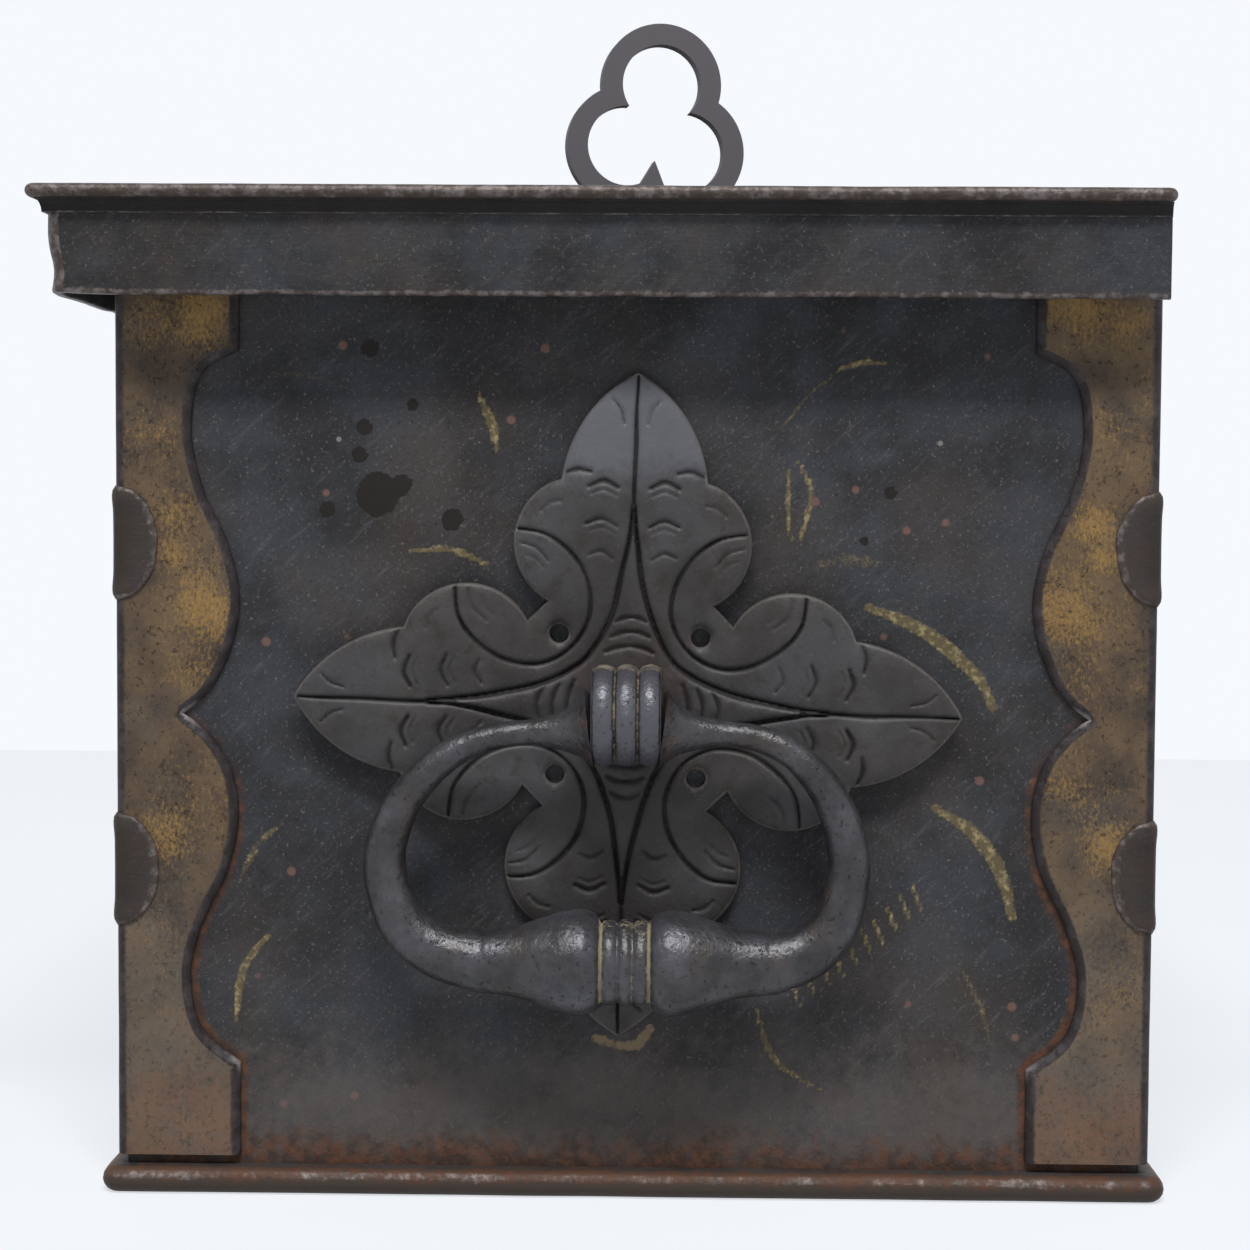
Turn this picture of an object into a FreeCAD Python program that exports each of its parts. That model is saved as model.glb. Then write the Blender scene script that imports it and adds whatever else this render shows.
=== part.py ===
import FreeCAD, Part
import os
from math import acos, cos, pi, radians, sin, sqrt, tan

# Iron strongbox used as a donation box: riveted plate case, overhanging lid, drop handles, lid lock.
# Millimetres. +Z up, +X along the length, front towards -Y, origin under the middle of the base.
# "right" is the +X end, the one with the leaf plate that faces a viewer standing at +X.

os.makedirs("parts", exist_ok=True)

V = FreeCAD.Vector
X_AXIS, Y_AXIS, Z_AXIS = V(1, 0, 0), V(0, 1, 0), V(0, 0, 1)
ORIGIN = V(0, 0, 0)

# Case
CASE_LENGTH = 320.0
CASE_DEPTH = 226.0
WALL = 2.5
BASE_THICK = 6.0
BASE_LIP = 3.6
BASE_NOSE = 2.9
LID_UNDER = 219.0
RIM_GAP = 0.3
TENON_LENGTH = 24.0
TENON_SPREAD = 0.28
TENON_PLAY = 0.1
TENON_RECESS = 0.2

# Corner straps: leg width across the face against height
STRAP = 2.0
STRAP_FOOT = 8.2
STRAP_HEAD = 206.0
STRAP_TAB = 27.4
STRAP_UPPER = [(27.4, 187.5), (19.6, 183.0), (16.8, 172.0), (19.4, 157.0), (25.2, 144.0), (27.4, 133.5),
               (24.6, 119.5), (20.0, 111.5), (14.9, 107.2)]
STRAP_LOWER = [(14.9, 107.2), (20.2, 103.0), (24.8, 96.5), (27.1, 85.5), (24.9, 73.0), (19.0, 60.5),
               (16.3, 49.5), (19.2, 36.0), (27.4, 29.0)]
STRAP_BEND = 1.9

# Lens-shaped clips hammered round the corners
CLIP_HEIGHTS = (145.0, 72.5)
CLIP_HALF = 12.6
CLIP_REACH = 9.4
CLIP_THICK = 1.6

# Leaf plate, one half lobe: along the lobe and across it
LEAF_THICK = 2.4
LEAF_Y = -1.5
LEAF_Z = 109.6
LEAF_TURN = -1.5
LEAF_TIP = 73.7
LEAF_TIP_BULGE = (63.1, 11.4)
LEAF_NOTCH_OUT = (49.7, 16.1)
LEAF_NOTCH_IN = (48.8, 18.5)
LEAF_LOBE_BULGE = (35.2, 26.2)
LEAF_FORK = (22.7, 18.3)
LEAF_HALF_LOBE = [(LEAF_TIP, 0), LEAF_TIP_BULGE, LEAF_NOTCH_OUT, LEAF_NOTCH_IN, LEAF_LOBE_BULGE, LEAF_FORK]
LEAF_HOLE = 15.6
LEAF_HOLE_R = 2.1

# Handle staple and drop handle
STAPLE_Z = 108.4
STAPLE_WIDTH = 15.0
STAPLE_INNER = 7.2
STAPLE_OUTER = 10.6
STAPLE_GROOVE = 3.75
STAPLE_GROOVE_R = 1.4
STAPLE_CLENCH = 13.0
STAPLE_CLENCH_THICK = 3.0
STAPLE_PLAY = 0.1
PIN_R = 4.5
PIN_DROP = 2.4
PIN_OUT = 12.4
BOSS_GAP = 0.5
# Arm of the handle: across, below the pivot, radius
ARM = [(8.0, 0.0, 8.7), (9.6, -0.2, 6.9), (13.0, -0.6, 4.7), (19.2, -0.9, 3.0), (27.6, -1.8, 2.9),
       (36.1, -4.9, 3.2), (43.8, -10.7, 3.7), (49.5, -18.7, 4.2), (52.2, -27.9, 4.6), (51.2, -36.4, 4.9),
       (47.6, -43.7, 5.4), (40.7, -48.7, 6.0), (31.5, -51.0, 6.8)]
ARM_LONG, ARM_SHORT = 1.0, 0.81
# Baluster grip: half length from the middle against radius
GRIP_BULB = [(31.5, 6.8), (23.8, 7.8), (17.7, 9.8), (12.3, 11.3), (9.0, 11.5), (6.4, 10.3), (5.4, 8.4)]
GRIP_COLLAR = [(4.8, 9.2), (2.3, 9.2), (1.6, 8.7), (0.9, 9.2)]

# Lid
LID_THICK = 3.0
LID_NOSE = 1.45
LID_OVERHANG = 4.0
SKIRT = 2.4
SKIRT_FOOT = 198.6
SKIRT_END_GAP = 13.0
SKIRT_FRONT = -127.0
SKIRT_REAR = 114.0
SKIRT_BEND = 3.5
LID_REAR = 115.0
COVE_HIGH = 3.0
COVE_TOP_OUT = 1.7
COVE_FOOT_OUT = 0.5
SKIRT_TENON = 14.0
SKIRT_TENON_PLAY = 0.05
SKIRT_FRONT_TENONS = (-110.0, 0.0, 110.0)
SKIRT_END_TENONS = (-70.0, 60.0)
COIN_SLOT = (60.0, 6.0)
COIN_SLOT_Y = 68.0

# Hinges
HINGE_X = 95.0
HINGE_WIDTH = 30.0
HINGE_LEAF = 2.0
KNUCKLE_R = 4.0
KNUCKLE_GAP = 0.3
HINGE_PIN_R = 2.0
HINGE_PLAY = 0.05
HINGE_OUT = 5.2
WALL_LEAF_DROP = 52.0
LID_LEAF_REACH = 56.0
RIVET_R = 1.7
RIVET_HOLE_R = 1.75
RIVET_HEAD_R = 3.6
RIVET_HEAD_HIGH = 1.8
RIVET_TRIANGLE = ((0, 0.17), (-0.3, 0.65), (0.3, 0.65))

# Lid lock: one driver turns three rack bolts
KEY_Y = 1.0
MODULE = 1.5
TEETH = 12
PRESSURE = radians(25.0)
ADDENDUM = 0.9 * MODULE
DEDENDUM = 1.2 * MODULE
BACKLASH = 0.1
RACK_TEETH = 8
BOLT_WIDE = 12.0
BOLT_THICK = 5.0
SIDE_BOLT_Z = 208.0
FRONT_BOLT_Z = 202.0
BOLT_TAIL = 24.0
SIDE_BOLT_END = 142.5
FRONT_BOLT_END = -95.5
STRIKE_GAP = 0.6
STRIKE_THICK = 4.0
STRIKE_SIDE = 6.0
SIDE_STRIKE_EDGE = 145.5
FRONT_STRIKE_EDGE = -98.5
STRIKE_TENON_R = 2.0
GUIDE_LONG = 4.0
GUIDE_SIDE = 4.0
GUIDE_PLAY = 0.15
SIDE_GUIDES = (70.0, 120.0)
FRONT_GUIDES = (-45.0, -80.0)
COVER_HALF = 42.0
COVER_Z = 199.0
COVER_THICK = 2.0
PILLAR_AT = 34.0
PILLAR_R = 4.0
DRIVER_HUB_R = 7.0
JOURNAL_R = 4.0
JOURNAL_PLAY = 0.05
BUSH_R = 12.0
BUSH_Z = 214.2
SOCKET = 6.2
SOCKET_FLOOR = 202.5

# Key
KEYHOLE_R = 4.6
SHANK_R = 4.0
KEY_SQUARE = 6.0
KEY_SQUARE_FOOT = 204.5
KEY_COLLAR_R = 6.2
KEY_COLLAR_Z = (223.5, 227.0)
BOW_Z = 252.5
BOW_SPREAD = 8.25
BOW_RISE = 17.95
BOW_INNER_R = 11.06
BOW_BAR = 5.8
BOW_THICK = 5.0
BOW_POINT = 4.0
BOW_YAW = 10.0
BOW_LEAN = -5.0

CASE_X = CASE_LENGTH / 2
CASE_Y = CASE_DEPTH / 2
FACE_X = CASE_X + STRAP
FACE_Y = CASE_Y + STRAP
WALL_TOP = LID_UNDER - RIM_GAP
LID_TOP = LID_UNDER + LID_THICK
SKIRT_X = FACE_X + SKIRT_END_GAP
LID_X = SKIRT_X + LID_OVERHANG
LID_FRONT = SKIRT_FRONT - LID_OVERHANG
LEAF_FACE = CASE_X + LEAF_THICK
PIN_X = LEAF_FACE + PIN_OUT
PIN_Z = STAPLE_Z - PIN_DROP
HINGE_Y = CASE_Y + HINGE_OUT
HINGE_Z = LID_UNDER - KNUCKLE_R
PITCH_R = MODULE * TEETH / 2
RACK_ROOT = PITCH_R + DEDENDUM


def block(low, high):
    """Box between two corners."""
    return Part.makeBox(high[0] - low[0], high[1] - low[1], high[2] - low[2], V(*low))


def rod(radius, start, end):
    """Round bar from one point to another."""
    line = V(*end) - V(*start)
    return Part.makeCylinder(radius, line.Length, V(*start), line)


def prism(edges, direction):
    """Solid made by pushing a closed flat outline along a direction."""
    wire = Part.Wire(Part.__sortEdges__(edges))
    return Part.Face(wire).extrude(direction)


def polygon(points, direction):
    """Prism on straight edges."""
    corners = [V(*point) for point in points]
    return Part.Face(Part.makePolygon(corners + corners[:1])).extrude(direction)


def spline(points):
    """Smooth edge through points."""
    curve = Part.BSplineCurve()
    curve.interpolate(points)
    return curve.toShape()


def line(start, end):
    """Straight edge."""
    return Part.LineSegment(start, end).toShape()


def fuse_all(shapes):
    """One solid from overlapping shapes."""
    return shapes[0].multiFuse(shapes[1:]).removeSplitter()


def turned(shape, angle, centre=ORIGIN, axis=Z_AXIS):
    """Copy turned about an axis, in degrees."""
    copy = shape.copy()
    copy.rotate(centre, axis, angle)
    return copy


def other_end(shape):
    """The same piece at the left end of the case."""
    return turned(shape, 180)


def save(node, shapes):
    """Write one node: a single solid, or a group of separate solids."""
    shape = shapes[0] if len(shapes) == 1 else Part.makeCompound(shapes)
    shape.exportStep("parts/" + node + ".step")


def rivet(foot, head_side, length):
    """Domed rivet: shank from foot towards the head side, with the head beyond it."""
    direction = V(*head_side)
    seat = V(*foot) + direction * length
    shank = Part.makeCylinder(RIVET_R, length, V(*foot), direction)
    dome_r = (RIVET_HEAD_R ** 2 + RIVET_HEAD_HIGH ** 2) / (2 * RIVET_HEAD_HIGH)
    dome = Part.makeSphere(dome_r, seat - direction * (dome_r - RIVET_HEAD_HIGH))
    head = dome.common(Part.makeCylinder(RIVET_HEAD_R, RIVET_HEAD_HIGH, seat, direction))
    return shank.fuse(head)


def base_and_walls():
    """Base plate with a half-round edge, and four plates tenoned through it."""
    edge_x = FACE_X + BASE_LIP
    edge_y = FACE_Y + BASE_LIP
    base = block((-edge_x, -edge_y, 0), (edge_x, edge_y, BASE_THICK))
    base = base.makeFillet(BASE_NOSE, [edge for edge in base.Edges if abs(edge.tangentAt(0).z) < 0.5])
    inner_y = CASE_Y - WALL
    inner_x = CASE_X - WALL
    plates = {
        "front_wall": ((-CASE_X, -CASE_Y), (CASE_X, -inner_y)),
        "rear_wall": ((-CASE_X, inner_y), (CASE_X, CASE_Y)),
        "left_end_wall": ((-CASE_X, -inner_y), (-inner_x, inner_y)),
        "right_end_wall": ((inner_x, -inner_y), (CASE_X, inner_y)),
    }
    walls = {}
    for node, (low, high) in plates.items():
        wall = block((*low, BASE_THICK), (*high, WALL_TOP))
        along_x = high[0] - low[0] > high[1] - low[1]
        length = CASE_LENGTH if along_x else CASE_DEPTH
        for side in (-1, 1):
            middle = side * length * TENON_SPREAD
            first, last = middle - TENON_LENGTH / 2, middle + TENON_LENGTH / 2
            if along_x:
                foot, top = (first, low[1]), (last, high[1])
            else:
                foot, top = (low[0], first), (high[0], last)
            wall = wall.fuse(block((*foot, TENON_RECESS), (*top, BASE_THICK)))
            base = base.cut(block((foot[0] - TENON_PLAY, foot[1] - TENON_PLAY, -1),
                                  (top[0] + TENON_PLAY, top[1] + TENON_PLAY, BASE_THICK + 1)))
        walls[node] = wall.removeSplitter()
    return base, walls


def strap_leg(place, thickness):
    """One scalloped leg of a corner strap; place maps width and height to a point."""
    corners = [place(0, STRAP_FOOT), place(STRAP_TAB, STRAP_FOOT)]
    top = [place(STRAP_TAB, STRAP_HEAD), place(0, STRAP_HEAD)]
    upper = [place(*point) for point in STRAP_UPPER]
    lower = [place(*point) for point in STRAP_LOWER]
    edges = [line(corners[0], corners[1]), line(corners[1], lower[-1]), spline(lower), spline(upper),
             line(upper[0], top[0]), line(top[0], top[1]), line(top[1], corners[0])]
    return prism(edges, thickness)


def corner_strap():
    """Angle strap of the right rear corner, with a rounded bend."""
    end_leg = strap_leg(lambda wide, high: V(CASE_X, FACE_Y - wide, high), X_AXIS * STRAP)
    side_leg = strap_leg(lambda wide, high: V(FACE_X - wide, CASE_Y, high), Y_AXIS * STRAP)
    strap = end_leg.fuse(side_leg).removeSplitter()
    bend = [edge for edge in strap.Edges
            if all(abs(point.X - FACE_X) < 0.01 and abs(point.Y - FACE_Y) < 0.01 for point in edge.Vertexes)]
    return strap.makeFillet(STRAP_BEND, bend)


def corner_clip(height):
    """Lens-shaped clip folded round the right rear corner."""
    outside = V(FACE_X + CLIP_REACH, FACE_Y + CLIP_REACH, height)
    across = V(1, -1, 0) * (CLIP_REACH / 2)
    tip_low, tip_high = outside - Z_AXIS * CLIP_HALF, outside + Z_AXIS * CLIP_HALF
    arcs = [Part.Arc(tip_low, outside + across, tip_high).toShape(),
            Part.Arc(tip_high, outside - across, tip_low).toShape()]
    lens = prism(arcs, V(-1, -1, 0) * (3 * CLIP_REACH))
    reach, past = CLIP_REACH + 2, CLIP_HALF + 2
    shell = block((FACE_X - reach, FACE_Y - reach, height - past),
                  (FACE_X + CLIP_THICK, FACE_Y + CLIP_THICK, height + past))
    upright = [edge for edge in shell.Edges
               if all(abs(point.X - FACE_X - CLIP_THICK) < 0.01 and abs(point.Y - FACE_Y - CLIP_THICK) < 0.01
                      for point in edge.Vertexes)]
    shell = shell.makeFillet(STRAP_BEND + CLIP_THICK, upright)
    core = block((FACE_X - reach - 1, FACE_Y - reach - 1, height - past - 1),
                 (FACE_X, FACE_Y, height + past + 1))
    bend = [edge for edge in core.Edges
            if all(abs(point.X - FACE_X) < 0.01 and abs(point.Y - FACE_Y) < 0.01 for point in edge.Vertexes)]
    return shell.cut(core.makeFillet(STRAP_BEND, bend)).common(lens)


def mirrored_corners(shape):
    """Copies of a right rear piece at all four corners, by name."""
    front = shape.mirror(ORIGIN, Y_AXIS)
    return {
        "rear_right": shape,
        "rear_left": shape.mirror(ORIGIN, X_AXIS),
        "front_right": front,
        "front_left": front.mirror(ORIGIN, X_AXIS),
    }


def leaf_plate():
    """Pierced four-lobed leaf behind the right handle."""
    def place(along, across, quarter, side):
        flat = V(CASE_X, side * across, along)
        return turned(Part.Vertex(flat), 90 * quarter, ORIGIN, X_AXIS).Point

    edges = []
    for quarter in range(4):
        for side in (-1, 1):
            tip, tip_bulge, notch_out, notch_in, lobe_bulge, fork = [place(*point, quarter, side)
                                                                     for point in LEAF_HALF_LOBE]
            edges.append(Part.Arc(tip, tip_bulge, notch_out).toShape())
            edges.append(line(notch_out, notch_in))
            edges.append(Part.Arc(notch_in, lobe_bulge, fork).toShape())
        edges.append(line(place(*LEAF_FORK, quarter, 1), place(*LEAF_FORK, quarter - 1, -1)))
    leaf = prism(edges, X_AXIS * LEAF_THICK)
    for side_y in (-1, 1):
        for side_z in (-1, 1):
            start = (CASE_X - 1, side_y * LEAF_HOLE, side_z * LEAF_HOLE)
            leaf = leaf.cut(rod(LEAF_HOLE_R, start, (LEAF_FACE + 1, start[1], start[2])))
    leaf.rotate(ORIGIN, X_AXIS, LEAF_TURN)
    leaf.translate(V(0, LEAF_Y, LEAF_Z))
    return leaf


def staple():
    """Reeded staple of the right handle: a band bent over the handle's pin, its ends clenched inside."""
    inside = CASE_X - WALL
    half = STAPLE_WIDTH / 2
    middle = V(PIN_X, LEAF_Y, STAPLE_Z)
    round_end = Part.makeCylinder(STAPLE_OUTER, STAPLE_WIDTH, middle - Y_AXIS * half, Y_AXIS)
    legs = block((inside, LEAF_Y - half, STAPLE_Z - STAPLE_OUTER),
                 (PIN_X, LEAF_Y + half, STAPLE_Z + STAPLE_OUTER))
    band = round_end.fuse(legs)
    for side in (-1, 1):
        groove = middle + Y_AXIS * (side * STAPLE_GROOVE)
        ring = Part.makeTorus(STAPLE_OUTER + STAPLE_GROOVE_R / 2, STAPLE_GROOVE_R, groove, Y_AXIS)
        front_half = block((PIN_X, LEAF_Y - half, STAPLE_Z - 2 * STAPLE_OUTER),
                           (PIN_X + 2 * STAPLE_OUTER, LEAF_Y + half, STAPLE_Z + 2 * STAPLE_OUTER))
        band = band.cut(ring.common(front_half))
    eye = Part.makeCylinder(STAPLE_INNER, STAPLE_WIDTH + 2, middle - Y_AXIS * (half + 1), Y_AXIS)
    gap = block((inside - 1, LEAF_Y - half - 1, STAPLE_Z - STAPLE_INNER),
                (PIN_X, LEAF_Y + half + 1, STAPLE_Z + STAPLE_INNER))
    band = band.cut(eye.fuse(gap))
    tails = []
    for side in (-1, 1):
        near, far = STAPLE_Z + side * STAPLE_INNER, STAPLE_Z + side * (STAPLE_OUTER + STAPLE_CLENCH)
        tails.append(block((inside - STAPLE_CLENCH_THICK, LEAF_Y - half, min(near, far)),
                           (inside, LEAF_Y + half, max(near, far))))
    return fuse_all([band] + tails)


def staple_slots():
    """Holes for the staple's legs through the leaf and the end wall."""
    half = STAPLE_WIDTH / 2 + STAPLE_PLAY
    slots = []
    for side in (-1, 1):
        near = STAPLE_Z + side * (STAPLE_INNER - STAPLE_PLAY)
        far = STAPLE_Z + side * (STAPLE_OUTER + STAPLE_PLAY)
        slots.append(block((CASE_X - WALL - 1, LEAF_Y - half, min(near, far)),
                           (LEAF_FACE + 1, LEAF_Y + half, max(near, far))))
    return slots[0].fuse(slots[1])


def handle_arm(side, stretch):
    """One arm of the drop handle, from the boss beside the staple to the grip."""
    grip_start = ARM[-1][0]
    centres = []
    for across, drop, radius in ARM:
        wide = grip_start + (across - grip_start) * stretch if across > grip_start else across
        centres.append((V(PIN_X, LEAF_Y + side * wide, PIN_Z + drop), radius))
    rings = []
    for index, (centre, radius) in enumerate(centres):
        if index < 2:
            heading = V(0, side, 0)
        elif index == len(centres) - 1:
            heading = V(0, -side, 0)
        else:
            heading = centres[index + 1][0] - centres[index - 1][0]
        rings.append(Part.Wire(Part.Circle(centre, heading, radius).toShape()))
    return Part.makeLoft(rings, True, False)


def handle():
    """Drop handle of the right end: pin, two arms and a baluster grip, forged in one."""
    grip_z = PIN_Z + ARM[-1][1]
    right_profile = [V(PIN_X, LEAF_Y + along, grip_z + radius) for along, radius in GRIP_BULB]
    left_profile = [V(PIN_X, LEAF_Y - along, grip_z + radius) for along, radius in GRIP_BULB]
    collar = [right_profile[-1]]
    for along, radius in GRIP_COLLAR + [(-along, radius) for along, radius in reversed(GRIP_COLLAR)]:
        collar.append(V(PIN_X, LEAF_Y + along, grip_z + radius))
    collar.append(left_profile[-1])
    ends = [V(PIN_X, point.y, grip_z) for point in (left_profile[0], right_profile[0])]
    edges = [spline(right_profile), spline(left_profile), line(left_profile[0], ends[0]),
             line(ends[0], ends[1]), line(ends[1], right_profile[0])]
    edges += [line(first, second) for first, second in zip(collar, collar[1:])]
    outline = Part.Face(Part.Wire(Part.__sortEdges__(edges)))
    grip = outline.revolve(V(PIN_X, 0, grip_z), Y_AXIS, 360)
    reach = ARM[0][0] + BOSS_GAP
    pin = rod(PIN_R, (PIN_X, LEAF_Y - reach, PIN_Z), (PIN_X, LEAF_Y + reach, PIN_Z))
    return fuse_all([grip, pin, handle_arm(-1, ARM_LONG), handle_arm(1, ARM_SHORT)])


def hinge_mid(x):
    """Points on the hinge axis either side of a hinge's middle knuckle."""
    third = HINGE_WIDTH / 3
    return x - third / 2, x + third / 2


def knuckle(low_x, high_x):
    """Round barrel on the hinge axis."""
    return rod(KNUCKLE_R, (low_x, HINGE_Y, HINGE_Z), (high_x, HINGE_Y, HINGE_Z))


def wall_leaf(x):
    """Hinge leaf riveted to the back of the rear wall, with the two outer knuckles."""
    low_x, high_x = x - HINGE_WIDTH / 2, x + HINGE_WIDTH / 2
    mid_low, mid_high = hinge_mid(x)
    knuckle_foot = HINGE_Z - KNUCKLE_R - 1
    shapes = [block((low_x, CASE_Y, HINGE_Z - WALL_LEAF_DROP), (high_x, CASE_Y + HINGE_LEAF, knuckle_foot))]
    for first, last in ((low_x, mid_low), (mid_high, high_x)):
        shapes.append(knuckle(first, last))
        shapes.append(block((first, CASE_Y, knuckle_foot), (last, CASE_Y + HINGE_LEAF, HINGE_Z)))
        shapes.append(block((first, CASE_Y, HINGE_Z - KNUCKLE_R), (last, HINGE_Y, HINGE_Z)))
    leaf = fuse_all(shapes)
    leaf = leaf.cut(rod(HINGE_PIN_R, (low_x - 1, HINGE_Y, HINGE_Z), (high_x + 1, HINGE_Y, HINGE_Z)))
    for place in wall_rivet_places(x):
        leaf = leaf.cut(rod(RIVET_HOLE_R, place, (place[0], CASE_Y + HINGE_LEAF + 1, place[2])))
    return leaf


def wall_rivet_places(x):
    """Feet of the rivets that hold a wall leaf."""
    foot, inside = HINGE_Z - WALL_LEAF_DROP, CASE_Y - WALL
    return [(x + HINGE_WIDTH * share, inside, foot + WALL_LEAF_DROP * rise) for share, rise in RIVET_TRIANGLE]


def lid_leaf(x):
    """Hinge leaf under the lid plate, with the middle knuckle."""
    low_x, high_x = x - HINGE_WIDTH / 2, x + HINGE_WIDTH / 2
    mid_low, mid_high = hinge_mid(x)
    mid_low, mid_high = mid_low + KNUCKLE_GAP, mid_high - KNUCKLE_GAP
    under = LID_UNDER - HINGE_LEAF
    shapes = [
        block((low_x, CASE_Y - LID_LEAF_REACH, under), (high_x, CASE_Y, LID_UNDER)),
        block((mid_low, CASE_Y - 1, under), (mid_high, HINGE_Y, LID_UNDER)),
        knuckle(mid_low, mid_high),
    ]
    leaf = fuse_all(shapes)
    bore = HINGE_PIN_R + HINGE_PLAY
    leaf = leaf.cut(rod(bore, (low_x, HINGE_Y, HINGE_Z), (high_x, HINGE_Y, HINGE_Z)))
    for place in lid_rivet_places(x):
        leaf = leaf.cut(rod(RIVET_HOLE_R, place, (place[0], place[1], LID_TOP)))
    return leaf


def lid_rivet_places(x):
    """Feet of the rivets that hold a lid leaf."""
    front = CASE_Y - LID_LEAF_REACH
    under = LID_UNDER - HINGE_LEAF
    return [(x + HINGE_WIDTH * share, front + LID_LEAF_REACH * rise, under) for share, rise in RIVET_TRIANGLE]


def lid_plate(skirt_slots):
    """Lid plate with a half-round nosing on three sides, coin slot and keyhole."""
    plate = block((-LID_X, LID_FRONT, LID_UNDER), (LID_X, LID_REAR, LID_TOP))
    nosing = []
    for edge in plate.Edges:
        points = [vertex.Point for vertex in edge.Vertexes]
        flat = abs(points[0].z - points[1].z) < 0.01
        at_rear = all(abs(point.y - LID_REAR) < 0.01 for point in points)
        if flat and not at_rear:
            nosing.append(edge)
    plate = plate.makeFillet(LID_NOSE, nosing)
    half_long, half_wide = COIN_SLOT[0] / 2 - COIN_SLOT[1] / 2, COIN_SLOT[1] / 2
    under, over = LID_UNDER - 1, LID_TOP + 1
    plate = plate.cut(block((-half_long, COIN_SLOT_Y - half_wide, under),
                            (half_long, COIN_SLOT_Y + half_wide, over)))
    for side in (-1, 1):
        end = (side * half_long, COIN_SLOT_Y)
        plate = plate.cut(rod(half_wide, (*end, under), (*end, over)))
    plate = plate.cut(rod(KEYHOLE_R, (0, KEY_Y, under), (0, KEY_Y, over)))
    for x in (-HINGE_X, HINGE_X):
        for place in lid_rivet_places(x):
            plate = plate.cut(rod(RIVET_HOLE_R, place, (place[0], place[1], over)))
    return plate.cut(skirt_slots)


def lid_skirt():
    """Band bent round the front and both ends of the lid, tenoned into the plate, and its slots."""
    outer = block((-SKIRT_X, SKIRT_FRONT, SKIRT_FOOT), (SKIRT_X, SKIRT_REAR, LID_UNDER))
    inner = block((-SKIRT_X + SKIRT, SKIRT_FRONT + SKIRT, SKIRT_FOOT - 1),
                  (SKIRT_X - SKIRT, SKIRT_REAR + 1, LID_UNDER + 1))

    def front_uprights(shape, y):
        return [edge for edge in shape.Edges
                if abs(edge.tangentAt(0).z) > 0.5 and all(abs(point.Y - y) < 0.01 for point in edge.Vertexes)]

    outer = outer.makeFillet(SKIRT_BEND, front_uprights(outer, SKIRT_FRONT))
    inner = inner.makeFillet(SKIRT_BEND - SKIRT, front_uprights(inner, SKIRT_FRONT + SKIRT))
    band = outer.cut(inner)
    half = SKIRT_TENON / 2
    play = SKIRT_TENON_PLAY
    tenons, slots = [], []
    places = [((x - half, SKIRT_FRONT), (x + half, SKIRT_FRONT + SKIRT)) for x in SKIRT_FRONT_TENONS]
    for y in SKIRT_END_TENONS:
        for edge in (-SKIRT_X, SKIRT_X - SKIRT):
            places.append(((edge, y - half), (edge + SKIRT, y + half)))
    for low, high in places:
        tenons.append(block((*low, LID_UNDER), (*high, LID_TOP)))
        slots.append(block((low[0] - play, low[1] - play, LID_UNDER - 1),
                           (high[0] + play, high[1] + play, LID_TOP + 1)))
    return fuse_all([band] + tenons), Part.makeCompound(slots)


def cove_strips():
    """Hollow moulding under the lid plate, mitred at the two front corners."""
    foot = LID_UNDER - COVE_HIGH

    def strip(place, run):
        high_in, high_out = place(0, LID_UNDER), place(COVE_TOP_OUT, LID_UNDER)
        foot_in, foot_out = place(0, foot), place(COVE_FOOT_OUT, foot)
        hollow = Part.Arc(high_out, place(COVE_FOOT_OUT + 0.2, foot + COVE_HIGH * 0.45), foot_out).toShape()
        return prism([line(high_in, high_out), hollow, line(foot_out, foot_in), line(foot_in, high_in)], run)

    reach = COVE_TOP_OUT + 1
    corner = SKIRT_X + reach
    front = strip(lambda out, high: V(-corner, SKIRT_FRONT - out, high), X_AXIS * (2 * corner))
    depth = SKIRT_REAR - SKIRT_FRONT + reach
    right = strip(lambda out, high: V(SKIRT_X + out, SKIRT_FRONT - reach, high), Y_AXIS * depth)
    mitre_low = foot - 1
    tall = V(0, 0, COVE_HIGH + 2)
    far = SKIRT_FRONT - reach
    past = corner + reach
    for side in (-1, 1):
        beyond = [(side * SKIRT_X, SKIRT_FRONT, mitre_low), (side * corner, far, mitre_low),
                  (side * past, far, mitre_low), (side * past, SKIRT_FRONT, mitre_low)]
        front = front.cut(polygon(beyond, tall))
    ahead = [(SKIRT_X, SKIRT_FRONT, mitre_low), (corner, far, mitre_low), (SKIRT_X, far - reach, mitre_low)]
    right = right.cut(polygon(ahead, tall))
    return {"front_cove": front, "right_cove": right, "left_cove": right.mirror(ORIGIN, X_AXIS)}


def involute(radius):
    """Involute angle of the driver's tooth at a radius outside its base circle."""
    angle = acos(PITCH_R * cos(PRESSURE) / radius)
    return tan(angle) - angle


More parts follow.
